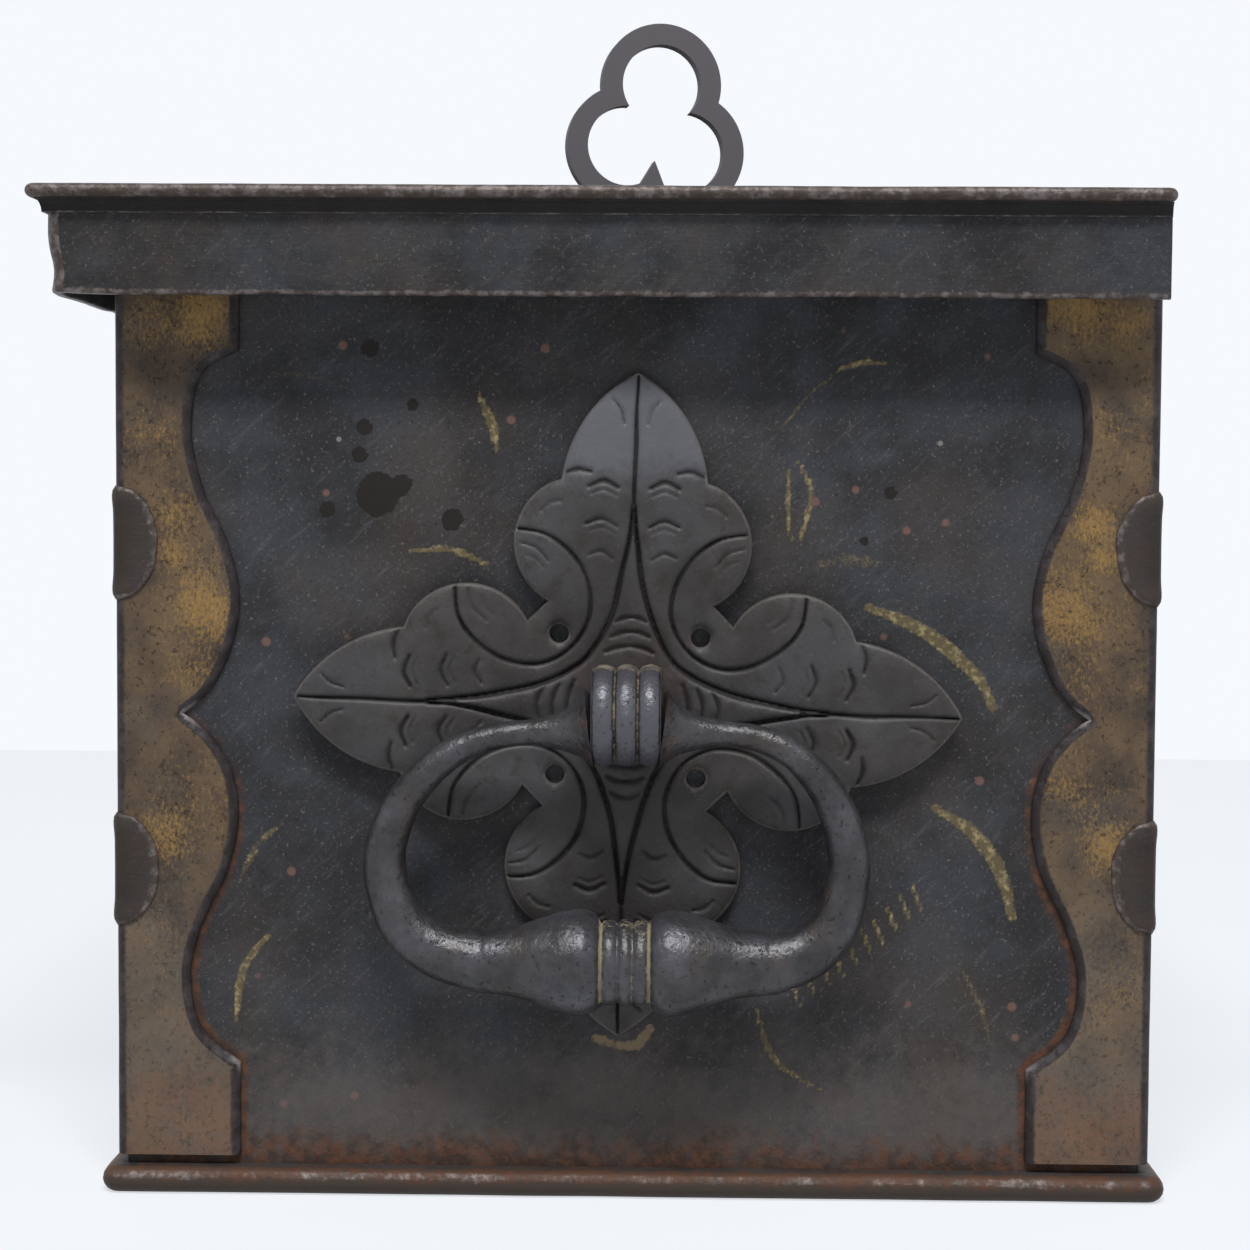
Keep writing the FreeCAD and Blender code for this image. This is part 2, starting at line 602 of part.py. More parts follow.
def lock_driver():
    """Toothed driver with a square socket for the key, turning in the bush and the cover."""
    base_r, tip_r, root_r = PITCH_R * cos(PRESSURE), PITCH_R + ADDENDUM, PITCH_R - DEDENDUM
    half_pitch_angle = (pi * MODULE / 2 - BACKLASH) / (2 * PITCH_R)
    flank = [(root_r, half_pitch_angle + involute(PITCH_R))]
    steps = 6
    for step in range(steps + 1):
        radius = base_r + (tip_r - base_r) * step / steps
        flank.append((radius, half_pitch_angle + involute(PITCH_R) - involute(radius)))
    foot, head = FRONT_BOLT_Z - 0.5, SIDE_BOLT_Z + BOLT_THICK + 0.5
    points = []
    for tooth in range(TEETH):
        middle = 2 * pi * tooth / TEETH
        for radius, half in flank:
            points.append((radius * cos(middle - half), KEY_Y + radius * sin(middle - half), foot))
        for radius, half in reversed(flank):
            points.append((radius * cos(middle + half), KEY_Y + radius * sin(middle + half), foot))
    gear = polygon(points, V(0, 0, head - foot))
    hub = rod(DRIVER_HUB_R, (0, KEY_Y, head - 1), (0, KEY_Y, LID_UNDER - RIM_GAP))
    journal = rod(JOURNAL_R, (0, KEY_Y, COVER_Z + TENON_RECESS), (0, KEY_Y, foot + 1))
    half = SOCKET / 2
    socket = block((-half, KEY_Y - half, SOCKET_FLOOR), (half, KEY_Y + half, LID_UNDER + 1))
    return fuse_all([gear, hub, journal]).cut(socket)


def rack_bolt(low, end, tail):
    """Flat rack bolt along +X on the +Y side of a driver at the origin, from tail to end, at height low."""
    bar = block((tail, RACK_ROOT, low), (end, RACK_ROOT + BOLT_WIDE, low + BOLT_THICK))
    pitch = pi * MODULE
    half_pitch = pitch / 4 - BACKLASH / 2
    half_root = half_pitch + DEDENDUM * tan(PRESSURE)
    half_tip = half_pitch - ADDENDUM * tan(PRESSURE)
    tip = PITCH_R - ADDENDUM
    overlap = 0.5
    teeth = []
    for tooth in range(RACK_TEETH):
        middle = (1.5 - tooth) * pitch
        outline = [(middle - half_root, RACK_ROOT + overlap, low), (middle - half_root, RACK_ROOT, low),
                   (middle - half_tip, tip, low), (middle + half_tip, tip, low),
                   (middle + half_root, RACK_ROOT, low), (middle + half_root, RACK_ROOT + overlap, low)]
        teeth.append(polygon(outline, V(0, 0, BOLT_THICK)))
    return fuse_all([bar] + teeth)


def lock_bolts():
    """Three bolts round the driver; turning it anticlockwise from above throws them all."""
    side = rack_bolt(SIDE_BOLT_Z, SIDE_BOLT_END, -BOLT_TAIL)
    right = side.mirror(ORIGIN, Y_AXIS)
    left = turned(right, 180)
    front = turned(rack_bolt(FRONT_BOLT_Z, KEY_Y - FRONT_BOLT_END, -BOLT_TAIL).mirror(ORIGIN, Y_AXIS), -90)
    bolts = {"right_bolt": right, "left_bolt": left, "front_bolt": front}
    for bolt in bolts.values():
        bolt.translate(V(0, KEY_Y, 0))
    return bolts


def bolt_band():
    """Distance of a bolt's near and far edge from the driver's axis."""
    return RACK_ROOT, RACK_ROOT + BOLT_WIDE


def lock_guides():
    """Windows under the lid that carry the bolts."""
    near, far = bolt_band()

    def guide(along, low):
        outer = block((along, near - GUIDE_SIDE, low - GUIDE_SIDE / 2),
                      (along + GUIDE_LONG, far + GUIDE_SIDE, LID_UNDER))
        window = block((along - 1, near - GUIDE_PLAY, low - GUIDE_PLAY),
                       (along + GUIDE_LONG + 1, far + GUIDE_PLAY, low + BOLT_THICK + GUIDE_PLAY))
        return outer.cut(window)

    def place(shape, angle):
        moved = turned(shape.mirror(ORIGIN, Y_AXIS), angle)
        moved.translate(V(0, KEY_Y, 0))
        return moved

    side = [guide(along, SIDE_BOLT_Z) for along in SIDE_GUIDES]
    front = [guide(KEY_Y - along, FRONT_BOLT_Z) for along in FRONT_GUIDES]
    return {
        "right_bolt_guides": [place(shape, 0) for shape in side],
        "left_bolt_guides": [place(shape, 180) for shape in side],
        "front_bolt_guides": [place(shape, -90) for shape in front],
    }


def strikes(walls):
    """Lugs tenoned into the walls, over the thrown bolts; their holes are cut in the walls."""
    near, far = bolt_band()

    def lug(edge, wall_in, bolt_low):
        low = bolt_low + BOLT_THICK + STRIKE_GAP
        middle = low + STRIKE_THICK / 2
        shape = block((edge, near - STRIKE_SIDE, low), (wall_in, far + STRIKE_SIDE, low + STRIKE_THICK))
        holes = []
        for across in (near - STRIKE_SIDE / 2, far + STRIKE_SIDE / 2):
            root, flush = (wall_in - 1, across, middle), (wall_in + WALL, across, middle)
            shape = shape.fuse(rod(STRIKE_TENON_R - HINGE_PLAY, root, flush))
            holes.append(rod(STRIKE_TENON_R, root, (wall_in + WALL + 1, across, middle)))
        return shape, Part.makeCompound(holes)

    side, side_holes = lug(SIDE_STRIKE_EDGE, CASE_X - WALL, SIDE_BOLT_Z)
    front, front_holes = lug(KEY_Y - FRONT_STRIKE_EDGE, KEY_Y + CASE_Y - WALL, FRONT_BOLT_Z)
    pairs = {}
    for node, wall, shape, holes, angle in (
        ("right_strike", "right_end_wall", side, side_holes, 0),
        ("left_strike", "left_end_wall", side, side_holes, 180),
        ("front_strike", "front_wall", front, front_holes, -90),
    ):
        placed = []
        for item in (shape, holes):
            moved = turned(item.mirror(ORIGIN, Y_AXIS), angle)
            moved.translate(V(0, KEY_Y, 0))
            placed.append(moved)
        pairs[node] = placed[0]
        walls[wall] = walls[wall].cut(placed[1])
    return pairs


def lock_frame():
    """Cover plate, its four pillars and the upper bush of the driver."""
    inside = COVER_Z + COVER_THICK
    cover = block((-COVER_HALF, KEY_Y - COVER_HALF, COVER_Z), (COVER_HALF, KEY_Y + COVER_HALF, inside))
    cover = cover.cut(rod(JOURNAL_R + JOURNAL_PLAY, (0, KEY_Y, COVER_Z - 1), (0, KEY_Y, inside + 1)))
    pillars = []
    for side_x in (-1, 1):
        for side_y in (-1, 1):
            x, y = side_x * PILLAR_AT, KEY_Y + side_y * PILLAR_AT
            pillars.append(rod(PILLAR_R, (x, y, inside), (x, y, LID_UNDER)))
    bush = rod(BUSH_R, (0, KEY_Y, BUSH_Z), (0, KEY_Y, LID_UNDER))
    bush = bush.cut(rod(DRIVER_HUB_R + JOURNAL_PLAY, (0, KEY_Y, BUSH_Z - 1), (0, KEY_Y, LID_UNDER + 1)))
    return cover, pillars, bush


def key():
    """Trefoil key: pierced bow, round shank with a collar, square driving end."""
    half_thick = BOW_THICK / 2
    centres = [(-BOW_SPREAD, BOW_Z), (BOW_SPREAD, BOW_Z), (0, BOW_Z + BOW_RISE)]
    outer_r = BOW_INNER_R + BOW_BAR
    discs = [rod(outer_r, (-half_thick, y, z), (half_thick, y, z)) for y, z in centres]
    eyes = [rod(BOW_INNER_R, (-half_thick - 1, y, z), (half_thick + 1, y, z)) for y, z in centres]
    bow = fuse_all(discs).cut(fuse_all(eyes))
    valley = BOW_Z - sqrt(BOW_INNER_R ** 2 - BOW_SPREAD ** 2)
    point = [(-half_thick, -BOW_POINT, valley - BOW_POINT), (-half_thick, BOW_POINT, valley - BOW_POINT),
             (-half_thick, 0, valley + BOW_POINT)]
    bow = bow.fuse(polygon(point, V(BOW_THICK, 0, 0)))
    bow_foot = BOW_Z - outer_r
    bow.rotate(V(0, 0, bow_foot), X_AXIS, BOW_LEAN)
    bow.rotate(ORIGIN, Z_AXIS, BOW_YAW)
    shoulder = LID_UNDER - RIM_GAP
    shank = rod(SHANK_R, (0, 0, shoulder), (0, 0, bow_foot + BOW_BAR))
    collar = rod(KEY_COLLAR_R, (0, 0, KEY_COLLAR_Z[0]), (0, 0, KEY_COLLAR_Z[1]))
    collar = collar.makeFillet((KEY_COLLAR_Z[1] - KEY_COLLAR_Z[0]) * 0.4, [collar.Edges[0], collar.Edges[2]])
    half = KEY_SQUARE / 2
    square = block((-half, -half, KEY_SQUARE_FOOT), (half, half, shoulder))
    forging = fuse_all([bow, shank, collar, square])
    forging.translate(V(0, KEY_Y, 0))
    return forging


def build():
    """Make every piece and write its file."""
    base, walls = base_and_walls()
    strike_lugs = strikes(walls)
    slots = staple_slots()
    walls["right_end_wall"] = walls["right_end_wall"].cut(slots)
    walls["left_end_wall"] = walls["left_end_wall"].cut(other_end(slots))
    wall_rivets, lid_rivets = [], []
    for x in (-HINGE_X, HINGE_X):
        notch_half = HINGE_WIDTH / 2 + KNUCKLE_GAP
        notch = block((x - notch_half, CASE_Y - WALL - 1, LID_UNDER - HINGE_LEAF - RIM_GAP),
                      (x + notch_half, CASE_Y + 1, LID_TOP))
        walls["rear_wall"] = walls["rear_wall"].cut(notch)
        for place in wall_rivet_places(x):
            hole = rod(RIVET_HOLE_R, place, (place[0], CASE_Y + 1, place[2]))
            walls["rear_wall"] = walls["rear_wall"].cut(hole)
            wall_rivets.append(rivet(place, (0, 1, 0), WALL + HINGE_LEAF))
        lid_rivets += [rivet(place, (0, 0, 1), HINGE_LEAF + LID_THICK) for place in lid_rivet_places(x)]

    save("base_plate", [base])
    for node, wall in walls.items():
        save(node, [wall])
    for corner, strap in mirrored_corners(corner_strap()).items():
        save(corner + "_strap", [strap])
    clips = []
    for height in CLIP_HEIGHTS:
        clips += mirrored_corners(corner_clip(height)).values()
    save("corner_clips", clips)

    leaf = leaf_plate().cut(slots)
    for node, shape in (("leaf_plate", leaf), ("handle_staple", staple()), ("drop_handle", handle())):
        save("right_" + node, [shape])
        save("left_" + node, [other_end(shape)])
    for node, lug in strike_lugs.items():
        save(node, [lug])

    for hand, x in (("left", -HINGE_X), ("right", HINGE_X)):
        save(hand + "_hinge_wall_leaf", [wall_leaf(x)])
        save(hand + "_hinge_lid_leaf", [lid_leaf(x)])
        half = HINGE_WIDTH / 2
        pin = rod(HINGE_PIN_R, (x - half, HINGE_Y, HINGE_Z), (x + half, HINGE_Y, HINGE_Z))
        save(hand + "_hinge_pin", [pin])
    save("hinge_wall_rivets", wall_rivets)
    save("hinge_lid_rivets", lid_rivets)

    skirt, skirt_slots = lid_skirt()
    save("lid_skirt", [skirt])
    save("lid_plate", [lid_plate(skirt_slots)])
    for node, strip in cove_strips().items():
        save(node, [strip])

    save("lock_driver", [lock_driver()])
    for node, bolt in lock_bolts().items():
        save(node, [bolt])
    for node, guides in lock_guides().items():
        save(node, guides)
    cover, pillars, bush = lock_frame()
    save("lock_cover", [cover])
    save("lock_pillars", pillars)
    save("driver_bush", [bush])
    save("key", [key()])


build()
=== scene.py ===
"""Dress of an iron donation box: worn plate, gilded corner straps, chased leaf plates and forged handles."""
import math

import bmesh
import bpy
import numpy as np
from mathutils import Matrix, Vector, noise
from mathutils.geometry import delaunay_2d_cdt


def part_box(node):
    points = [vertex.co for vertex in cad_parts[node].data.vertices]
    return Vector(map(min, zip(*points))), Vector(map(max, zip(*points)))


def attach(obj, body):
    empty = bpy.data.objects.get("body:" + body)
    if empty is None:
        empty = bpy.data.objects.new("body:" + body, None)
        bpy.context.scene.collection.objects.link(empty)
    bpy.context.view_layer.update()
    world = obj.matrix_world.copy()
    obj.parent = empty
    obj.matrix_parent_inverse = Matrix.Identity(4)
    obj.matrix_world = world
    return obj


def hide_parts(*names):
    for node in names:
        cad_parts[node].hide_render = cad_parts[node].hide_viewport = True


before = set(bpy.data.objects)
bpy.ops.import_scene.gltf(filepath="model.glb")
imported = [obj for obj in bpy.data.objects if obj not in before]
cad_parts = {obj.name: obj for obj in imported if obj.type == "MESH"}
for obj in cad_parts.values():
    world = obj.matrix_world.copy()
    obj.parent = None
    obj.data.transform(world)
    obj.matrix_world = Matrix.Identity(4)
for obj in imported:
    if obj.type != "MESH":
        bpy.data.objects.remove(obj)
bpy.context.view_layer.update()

bl_info = {
    "name": "Iron Donation Box",
    "version": (1, 0, 0),
    "blender": (4, 5, 0),
    "location": "View3D > Sidebar > Donation Box",
    "description": "Builds the finished surfaces of a riveted iron donation box around its packed frame",
    "category": "Object",
}

MM = 0.001
UP = np.array((0.0, 0.0, 1.0))
# The four sides of the case: the direction across each, seen from outside, and the direction out of it
SIDES = {
    "right": (np.array((0.0, 1.0, 0.0)), np.array((1.0, 0.0, 0.0))),
    "left": (np.array((0.0, -1.0, 0.0)), np.array((-1.0, 0.0, 0.0))),
    "front": (np.array((1.0, 0.0, 0.0)), np.array((0.0, -1.0, 0.0))),
    "rear": (np.array((-1.0, 0.0, 0.0)), np.array((0.0, 1.0, 0.0))),
}


# Curves and distances

def through(points, step):
    """Points about a step apart on a smooth open curve through the given points."""
    points = np.array(points, float)
    gaps = np.linalg.norm(np.diff(points, axis=0), axis=1)
    knots = np.concatenate(([0.0], np.cumsum(gaps)))
    slopes = np.gradient(points, knots, axis=0)
    places = np.linspace(0.0, knots[-1], max(2, round(knots[-1] / step) + 1))
    spans = np.clip(np.searchsorted(knots, places, side="right") - 1, 0, len(gaps) - 1)
    width = gaps[spans][:, None]
    t = ((places - knots[spans]) / gaps[spans])[:, None]
    start = (2 * t**3 - 3 * t**2 + 1) * points[spans] + (t**3 - 2 * t**2 + t) * width * slopes[spans]
    end = (3 * t**2 - 2 * t**3) * points[spans + 1] + (t**3 - t**2) * width * slopes[spans + 1]
    return start + end


def arc_through(first, middle, last, step):
    """Points on the circular arc from the first point through the middle one to the last, ends included."""
    a, b, c = (complex(*p) for p in (first, middle, last))
    ratio = (c - a) / (b - a)
    centre = a + (b - a) * (ratio - abs(ratio) ** 2) / 2j / ratio.imag
    turn = np.angle((c - centre) / (a - centre))
    half = np.angle((b - centre) / (a - centre))
    if turn * half < 0:
        turn -= math.copysign(2 * math.pi, turn)
    count = max(2, round(abs(turn) * abs(a - centre) / step))
    swept = centre + (a - centre) * np.exp(1j * np.linspace(0.0, turn, count + 1))
    return np.column_stack((swept.real, swept.imag))


def distance_to(points, line):
    """Distance of each point from a broken line, and how far along it, 0 to 1, the nearest place is."""
    best = np.full(len(points), np.inf)
    along = np.zeros(len(points))
    for index, (start, end) in enumerate(zip(line[:-1], line[1:])):
        run = end - start
        share = np.clip(((points - start) @ run) / (run @ run), 0.0, 1.0)
        gap = np.linalg.norm(points - (start + share[:, None] * run), axis=1)
        nearer = gap < best
        best[nearer] = gap[nearer]
        along[nearer] = (index + share[nearer]) / (len(line) - 1)
    return best, along


def inside(points, loop):
    """Which of the points lie inside a closed loop."""
    found = np.zeros(len(points), bool)
    for start, end in zip(loop, np.roll(loop, -1, axis=0)):
        if start[1] == end[1]:
            continue
        crosses = (start[1] > points[:, 1]) != (end[1] > points[:, 1])
        level = start[0] + (points[:, 1] - start[1]) * (end[0] - start[0]) / (end[1] - start[1])
        found ^= crosses & (points[:, 0] < level)
    return found


def closed(loop):
    """A loop with its first point repeated at the end."""
    return np.vstack((loop, loop[:1]))


def ripple(points, size, seed=0.0):
    """Smooth noise from -1 to 1 at each point, with waves about a size across."""
    shift = Vector((seed, 1.7 * seed, 2.3 * seed))
    return np.array([noise.noise(Vector(point) / size + shift) for point in points])


def waver(x, y, z):
    """Smooth noise from -1 to 1 at one place."""
    return noise.noise(Vector((x, y, z)))


def fade(value, low, high):
    """A smooth step from 0 at the low value to 1 at the high one."""
    t = np.clip((np.asarray(value, float) - low) / (high - low), 0.0, 1.0)
    return t * t * (3 - 2 * t)


# Meshes

def loft(rings):
    """Points and faces of a skin over rings of equal count, capped at its ends."""
    count, width = len(rings), len(rings[0])
    faces = []
    for ring in range(count - 1):
        here, there = ring * width, (ring + 1) * width
        for j in range(width):
            k = (j + 1) % width
            faces.append((here + j, here + k, there + k, there + j))
    faces.append(tuple(reversed(range(width))))
    faces.append(tuple((count - 1) * width + j for j in range(width)))
    return np.concatenate(rings), faces


def inset(loop, amount):
    """A loop moved to the left of its direction, with mitred corners."""
    ahead = np.roll(loop, -1, axis=0) - loop
    ahead /= np.linalg.norm(ahead, axis=1)[:, None]
    left = np.column_stack((-ahead[:, 1], ahead[:, 0]))
    before = np.roll(left, 1, axis=0)
    spread = np.maximum(1 + np.sum(left * before, axis=1), 0.6)
    return loop + amount * (left + before) / spread[:, None]


def fill_points(loops, spacing, margin):
    """A staggered grid of points inside the first loop and outside the others, clear of all by a margin."""
    low, high = loops[0].min(axis=0), loops[0].max(axis=0)
    rows = np.arange(low[1] + spacing / 2, high[1], spacing * math.sqrt(0.75))
    grid = []
    for index, level in enumerate(rows):
        places = np.arange(low[0] + spacing * (0.25 + 0.5 * (index % 2)), high[0], spacing)
        grid.append(np.column_stack((places, np.full(len(places), level))))
    points = np.concatenate(grid)
    points = points[inside(points, loops[0])]
    for loop in loops[1:]:
        points = points[~inside(points, loop)]
    for loop in loops:
        points = points[distance_to(points, closed(loop))[0] > margin]
    return points


def triangles(loops, extra):
    """Triangles over the first loop with the others left open, on the loops' points and the extra ones."""
    points = np.concatenate(list(loops) + [extra]) if len(extra) else np.concatenate(loops)
    edges, start = [], 0
    for loop in loops:
        edges += [(start + i, start + (i + 1) % len(loop)) for i in range(len(loop))]
        start += len(loop)
    result = delaunay_2d_cdt([Vector(p) for p in points], edges, [], 1, 1e-7)
    faces = [tuple(result[3][corner][0] for corner in face) for face in result[2]]
    middles = np.array([points[list(face)].mean(axis=0) for face in faces])
    keep = np.ones(len(faces), bool)
    for loop in loops[1:]:
        keep &= ~inside(middles, loop)
    return [face for face, kept in zip(faces, keep) if kept]


def sheet(loops, rim, spacing, extra=None):
    """A plate with a shaped rim: local points (across, along, height) and faces.

    The first loop is the outline, run anticlockwise, and the others are holes, run clockwise.  The rim lists
    (inset, height) rows from the back of the plate to its face.
    """
    rows = [[inset(loop, amount) for loop in loops] for amount, _ in rim]
    if extra is None:
        extra = fill_points(rows[-1], spacing, spacing * 0.6)
    size = sum(len(loop) for loop in loops)
    points = [np.column_stack((np.concatenate(row), np.full(size, height)))
              for row, (_, height) in zip(rows, rim)]
    faces = []
    for level in range(len(rim) - 1):
        start = 0
        for loop in loops:
            for i in range(len(loop)):
                a, b = level * size + start + i, level * size + start + (i + 1) % len(loop)
                faces.append((a, b, b + size, a + size))
            start += len(loop)
    top = (len(rim) - 1) * size
    first_extra = len(rim) * size
    for face in triangles(rows[-1], extra):
        faces.append(tuple(top + c if c < size else first_extra + c - size for c in face))
    for face in triangles(rows[0], np.empty((0, 2))):
        faces.append(tuple(reversed(face)))
    points.append(np.column_stack((extra, np.full(len(extra), rim[-1][1]))))
    return np.concatenate(points), faces


def nose_rim(thick, reach, steps=4):
    """Rim rows of a plate with a half-round nose."""
    angles = np.linspace(0.0, math.pi / 2, steps + 1)
    half = thick / 2
    low = [(reach * (1 - math.sin(a)), half * (1 - math.cos(a))) for a in angles]
    high = [(reach * (1 - math.cos(a)), thick - half * (1 - math.sin(a))) for a in angles]
    return low + high[1:]


def on_side(side, local):
    """Points given as across, up and out from the middle of the box, placed on one of its sides."""
    across, out = SIDES[side]
    local = np.asarray(local)
    return local[:, :1] * across + local[:, 1:2] * UP + local[:, 2:3] * out


def box_range(node):
    """Lowest and highest corners of a node's box, in millimetres."""
    return [np.array(corner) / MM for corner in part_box(node)]


def side_range(node, side):
    """Lowest and highest across, up and out of a node's box, in millimetres, on one side of the case."""
    across, out = SIDES[side]
    corners = np.array(box_range(node))
    spans = [sorted(corners @ axis) for axis in (across, UP, out)]
    return np.array([span[0] for span in spans]), np.array([span[1] for span in spans])


def place_object(name, data):
    """Links a new object to the scene."""
    item = bpy.data.objects.new(name, data)
    bpy.context.scene.collection.objects.link(item)
    return item


def make_piece(name, points, faces, finish, body, nodes, marks, crease):
    """A finished piece from faces and points in millimetres, with all that place_mesh gives it."""
    mesh = bpy.data.meshes.new(name)
    mesh.from_pydata([tuple(p) for p in np.asarray(points) * MM], [], [tuple(map(int, f)) for f in faces])
    work = bmesh.new()
    work.from_mesh(mesh)
    bmesh.ops.recalc_face_normals(work, faces=work.faces)
    work.to_mesh(mesh)
    work.free()
    place_mesh(name, mesh, finish, body, nodes, marks, crease)


def place_mesh(name, mesh, finish, body, nodes, marks, crease):
    """Links a mesh as a piece with its marks and finish, riding on a body in place of the given nodes."""
    for mark, values in marks.items():
        layer = mesh.attributes.new(mark, "FLOAT", "POINT")
        layer.data.foreach_set("value", np.asarray(values, np.float32))
    mesh.shade_smooth()
    mesh.set_sharp_from_angle(angle=math.radians(crease))
    mesh.materials.clear()
    mesh.materials.append(finish)
    piece = place_object(name, mesh)
    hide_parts(*nodes)
    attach(piece, body)


def wear_node(node, finish):
    """Gives a node of the frame its finish."""
    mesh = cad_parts[node].data
    mesh.materials.clear()
    mesh.materials.append(finish)


# Settings that a user would change

def display_colour(*levels):
    """Linear colour of a display colour, given as red, green and blue in steps of 255."""
    shares = [level / 255 for level in levels]
    return tuple(c / 12.92 if c < 0.0405 else ((c + 0.055) / 1.055) ** 2.4 for c in shares)


def colour_setting(name, description, *display):
    """A colour property whose default is a display colour."""
    return bpy.props.FloatVectorProperty(name=name, description=description, subtype="COLOR", size=3,
                                         min=0.0, max=1.0, default=display_colour(*display))


def length_setting(name, description, millimetres):
    """A length property whose default is given in millimetres."""
    return bpy.props.FloatProperty(name=name, description=description, unit="LENGTH", precision=5,
                                   min=0.0, default=millimetres * MM)


class StrongboxFinish(bpy.types.PropertyGroup):
    """Colours of the box."""
    iron: colour_setting("Plate iron", "Dark blue-grey of the waxed plate", 58, 59, 63)
    dark_iron: colour_setting("Dark iron", "Darkest tone of the plate", 40, 40, 42)
    brown_iron: colour_setting("Brown iron", "Plate where the patina has turned brown", 68, 59, 52)
    worn_iron: colour_setting("Worn iron", "Edges rubbed bright", 146, 139, 138)
    forged_iron: colour_setting("Forged iron", "Handles and staples", 68, 67, 70)
    key_iron: colour_setting("Key iron", "Plain grey of the key", 98, 95, 99)
    gilt: colour_setting("Gilding", "Remains of bronze-gold paint", 150, 118, 68)
    ochre: colour_setting("Ochre ground", "Ground under the gilding of the straps", 99, 82, 63)
    umber: colour_setting("Umber", "Brown of the straps where the gilding is gone", 65, 56, 50)
    rust: colour_setting("Rust", "Rust along the foot and in the joints", 92, 60, 43)
    lime: colour_setting("Old polish", "Pale deposit left in grooves", 168, 156, 128)
    stain: colour_setting("Stain", "Drops that have etched the plate", 30, 26, 23)


class StrongboxShape(bpy.types.PropertyGroup):
    """Sizes of the hand-worked detail."""
    plate_grid: length_setting("Plate grid", "Spacing of the points on the walls", 0.95)
    hammer_depth: length_setting("Hammer depth", "How far the plates dip between hammer blows", 0.3)
    edge_wave: length_setting("Edge wave", "How far a forged edge wanders", 0.45)
    strap_bevel: length_setting("Strap bevel", "Width of the filed edge of the straps", 1.5)
    leaf_dome: length_setting("Leaf dome", "How far the leaf swells between its veins", 0.9)
    leaf_lift: length_setting("Leaf lift", "How far the lobes of the leaf stand off the wall", 3.0)
    groove_depth: length_setting("Groove depth", "Depth of the chased lines", 0.75)
    groove_width: length_setting("Groove width", "Half width of the chased lines", 0.6)
    forge_depth: length_setting("Forging marks", "Unevenness of the handles", 0.22)
    rivet_head: length_setting("Rivet head", "Radius of a rivet head", 3.6)
    rivet_rise: length_setting("Rivet rise", "Height of a rivet head", 1.8)
    seed: bpy.props.IntProperty(name="Seed", description="Seed of the random sizes of the rivets", default=7)


class StrongboxStage(bpy.types.PropertyGroup):
    """Floor, lights and camera."""
    floor: colour_setting("Floor", "Colour of the floor", 238, 241, 244)
    backdrop: colour_setting("Backdrop", "Colour behind the box", 246, 249, 254)
    key_power: bpy.props.FloatProperty(name="Key light", description="Power of the overhead softbox",
                                       subtype="POWER", default=180.0)
    fill: bpy.props.FloatProperty(name="Fill", description="Strength of the even light of the room",
                                  default=0.235)
    lens: bpy.props.FloatProperty(name="Lens", description="Focal length of the camera in millimetres",
                                  unit="CAMERA", default=73.3)


# Finishes

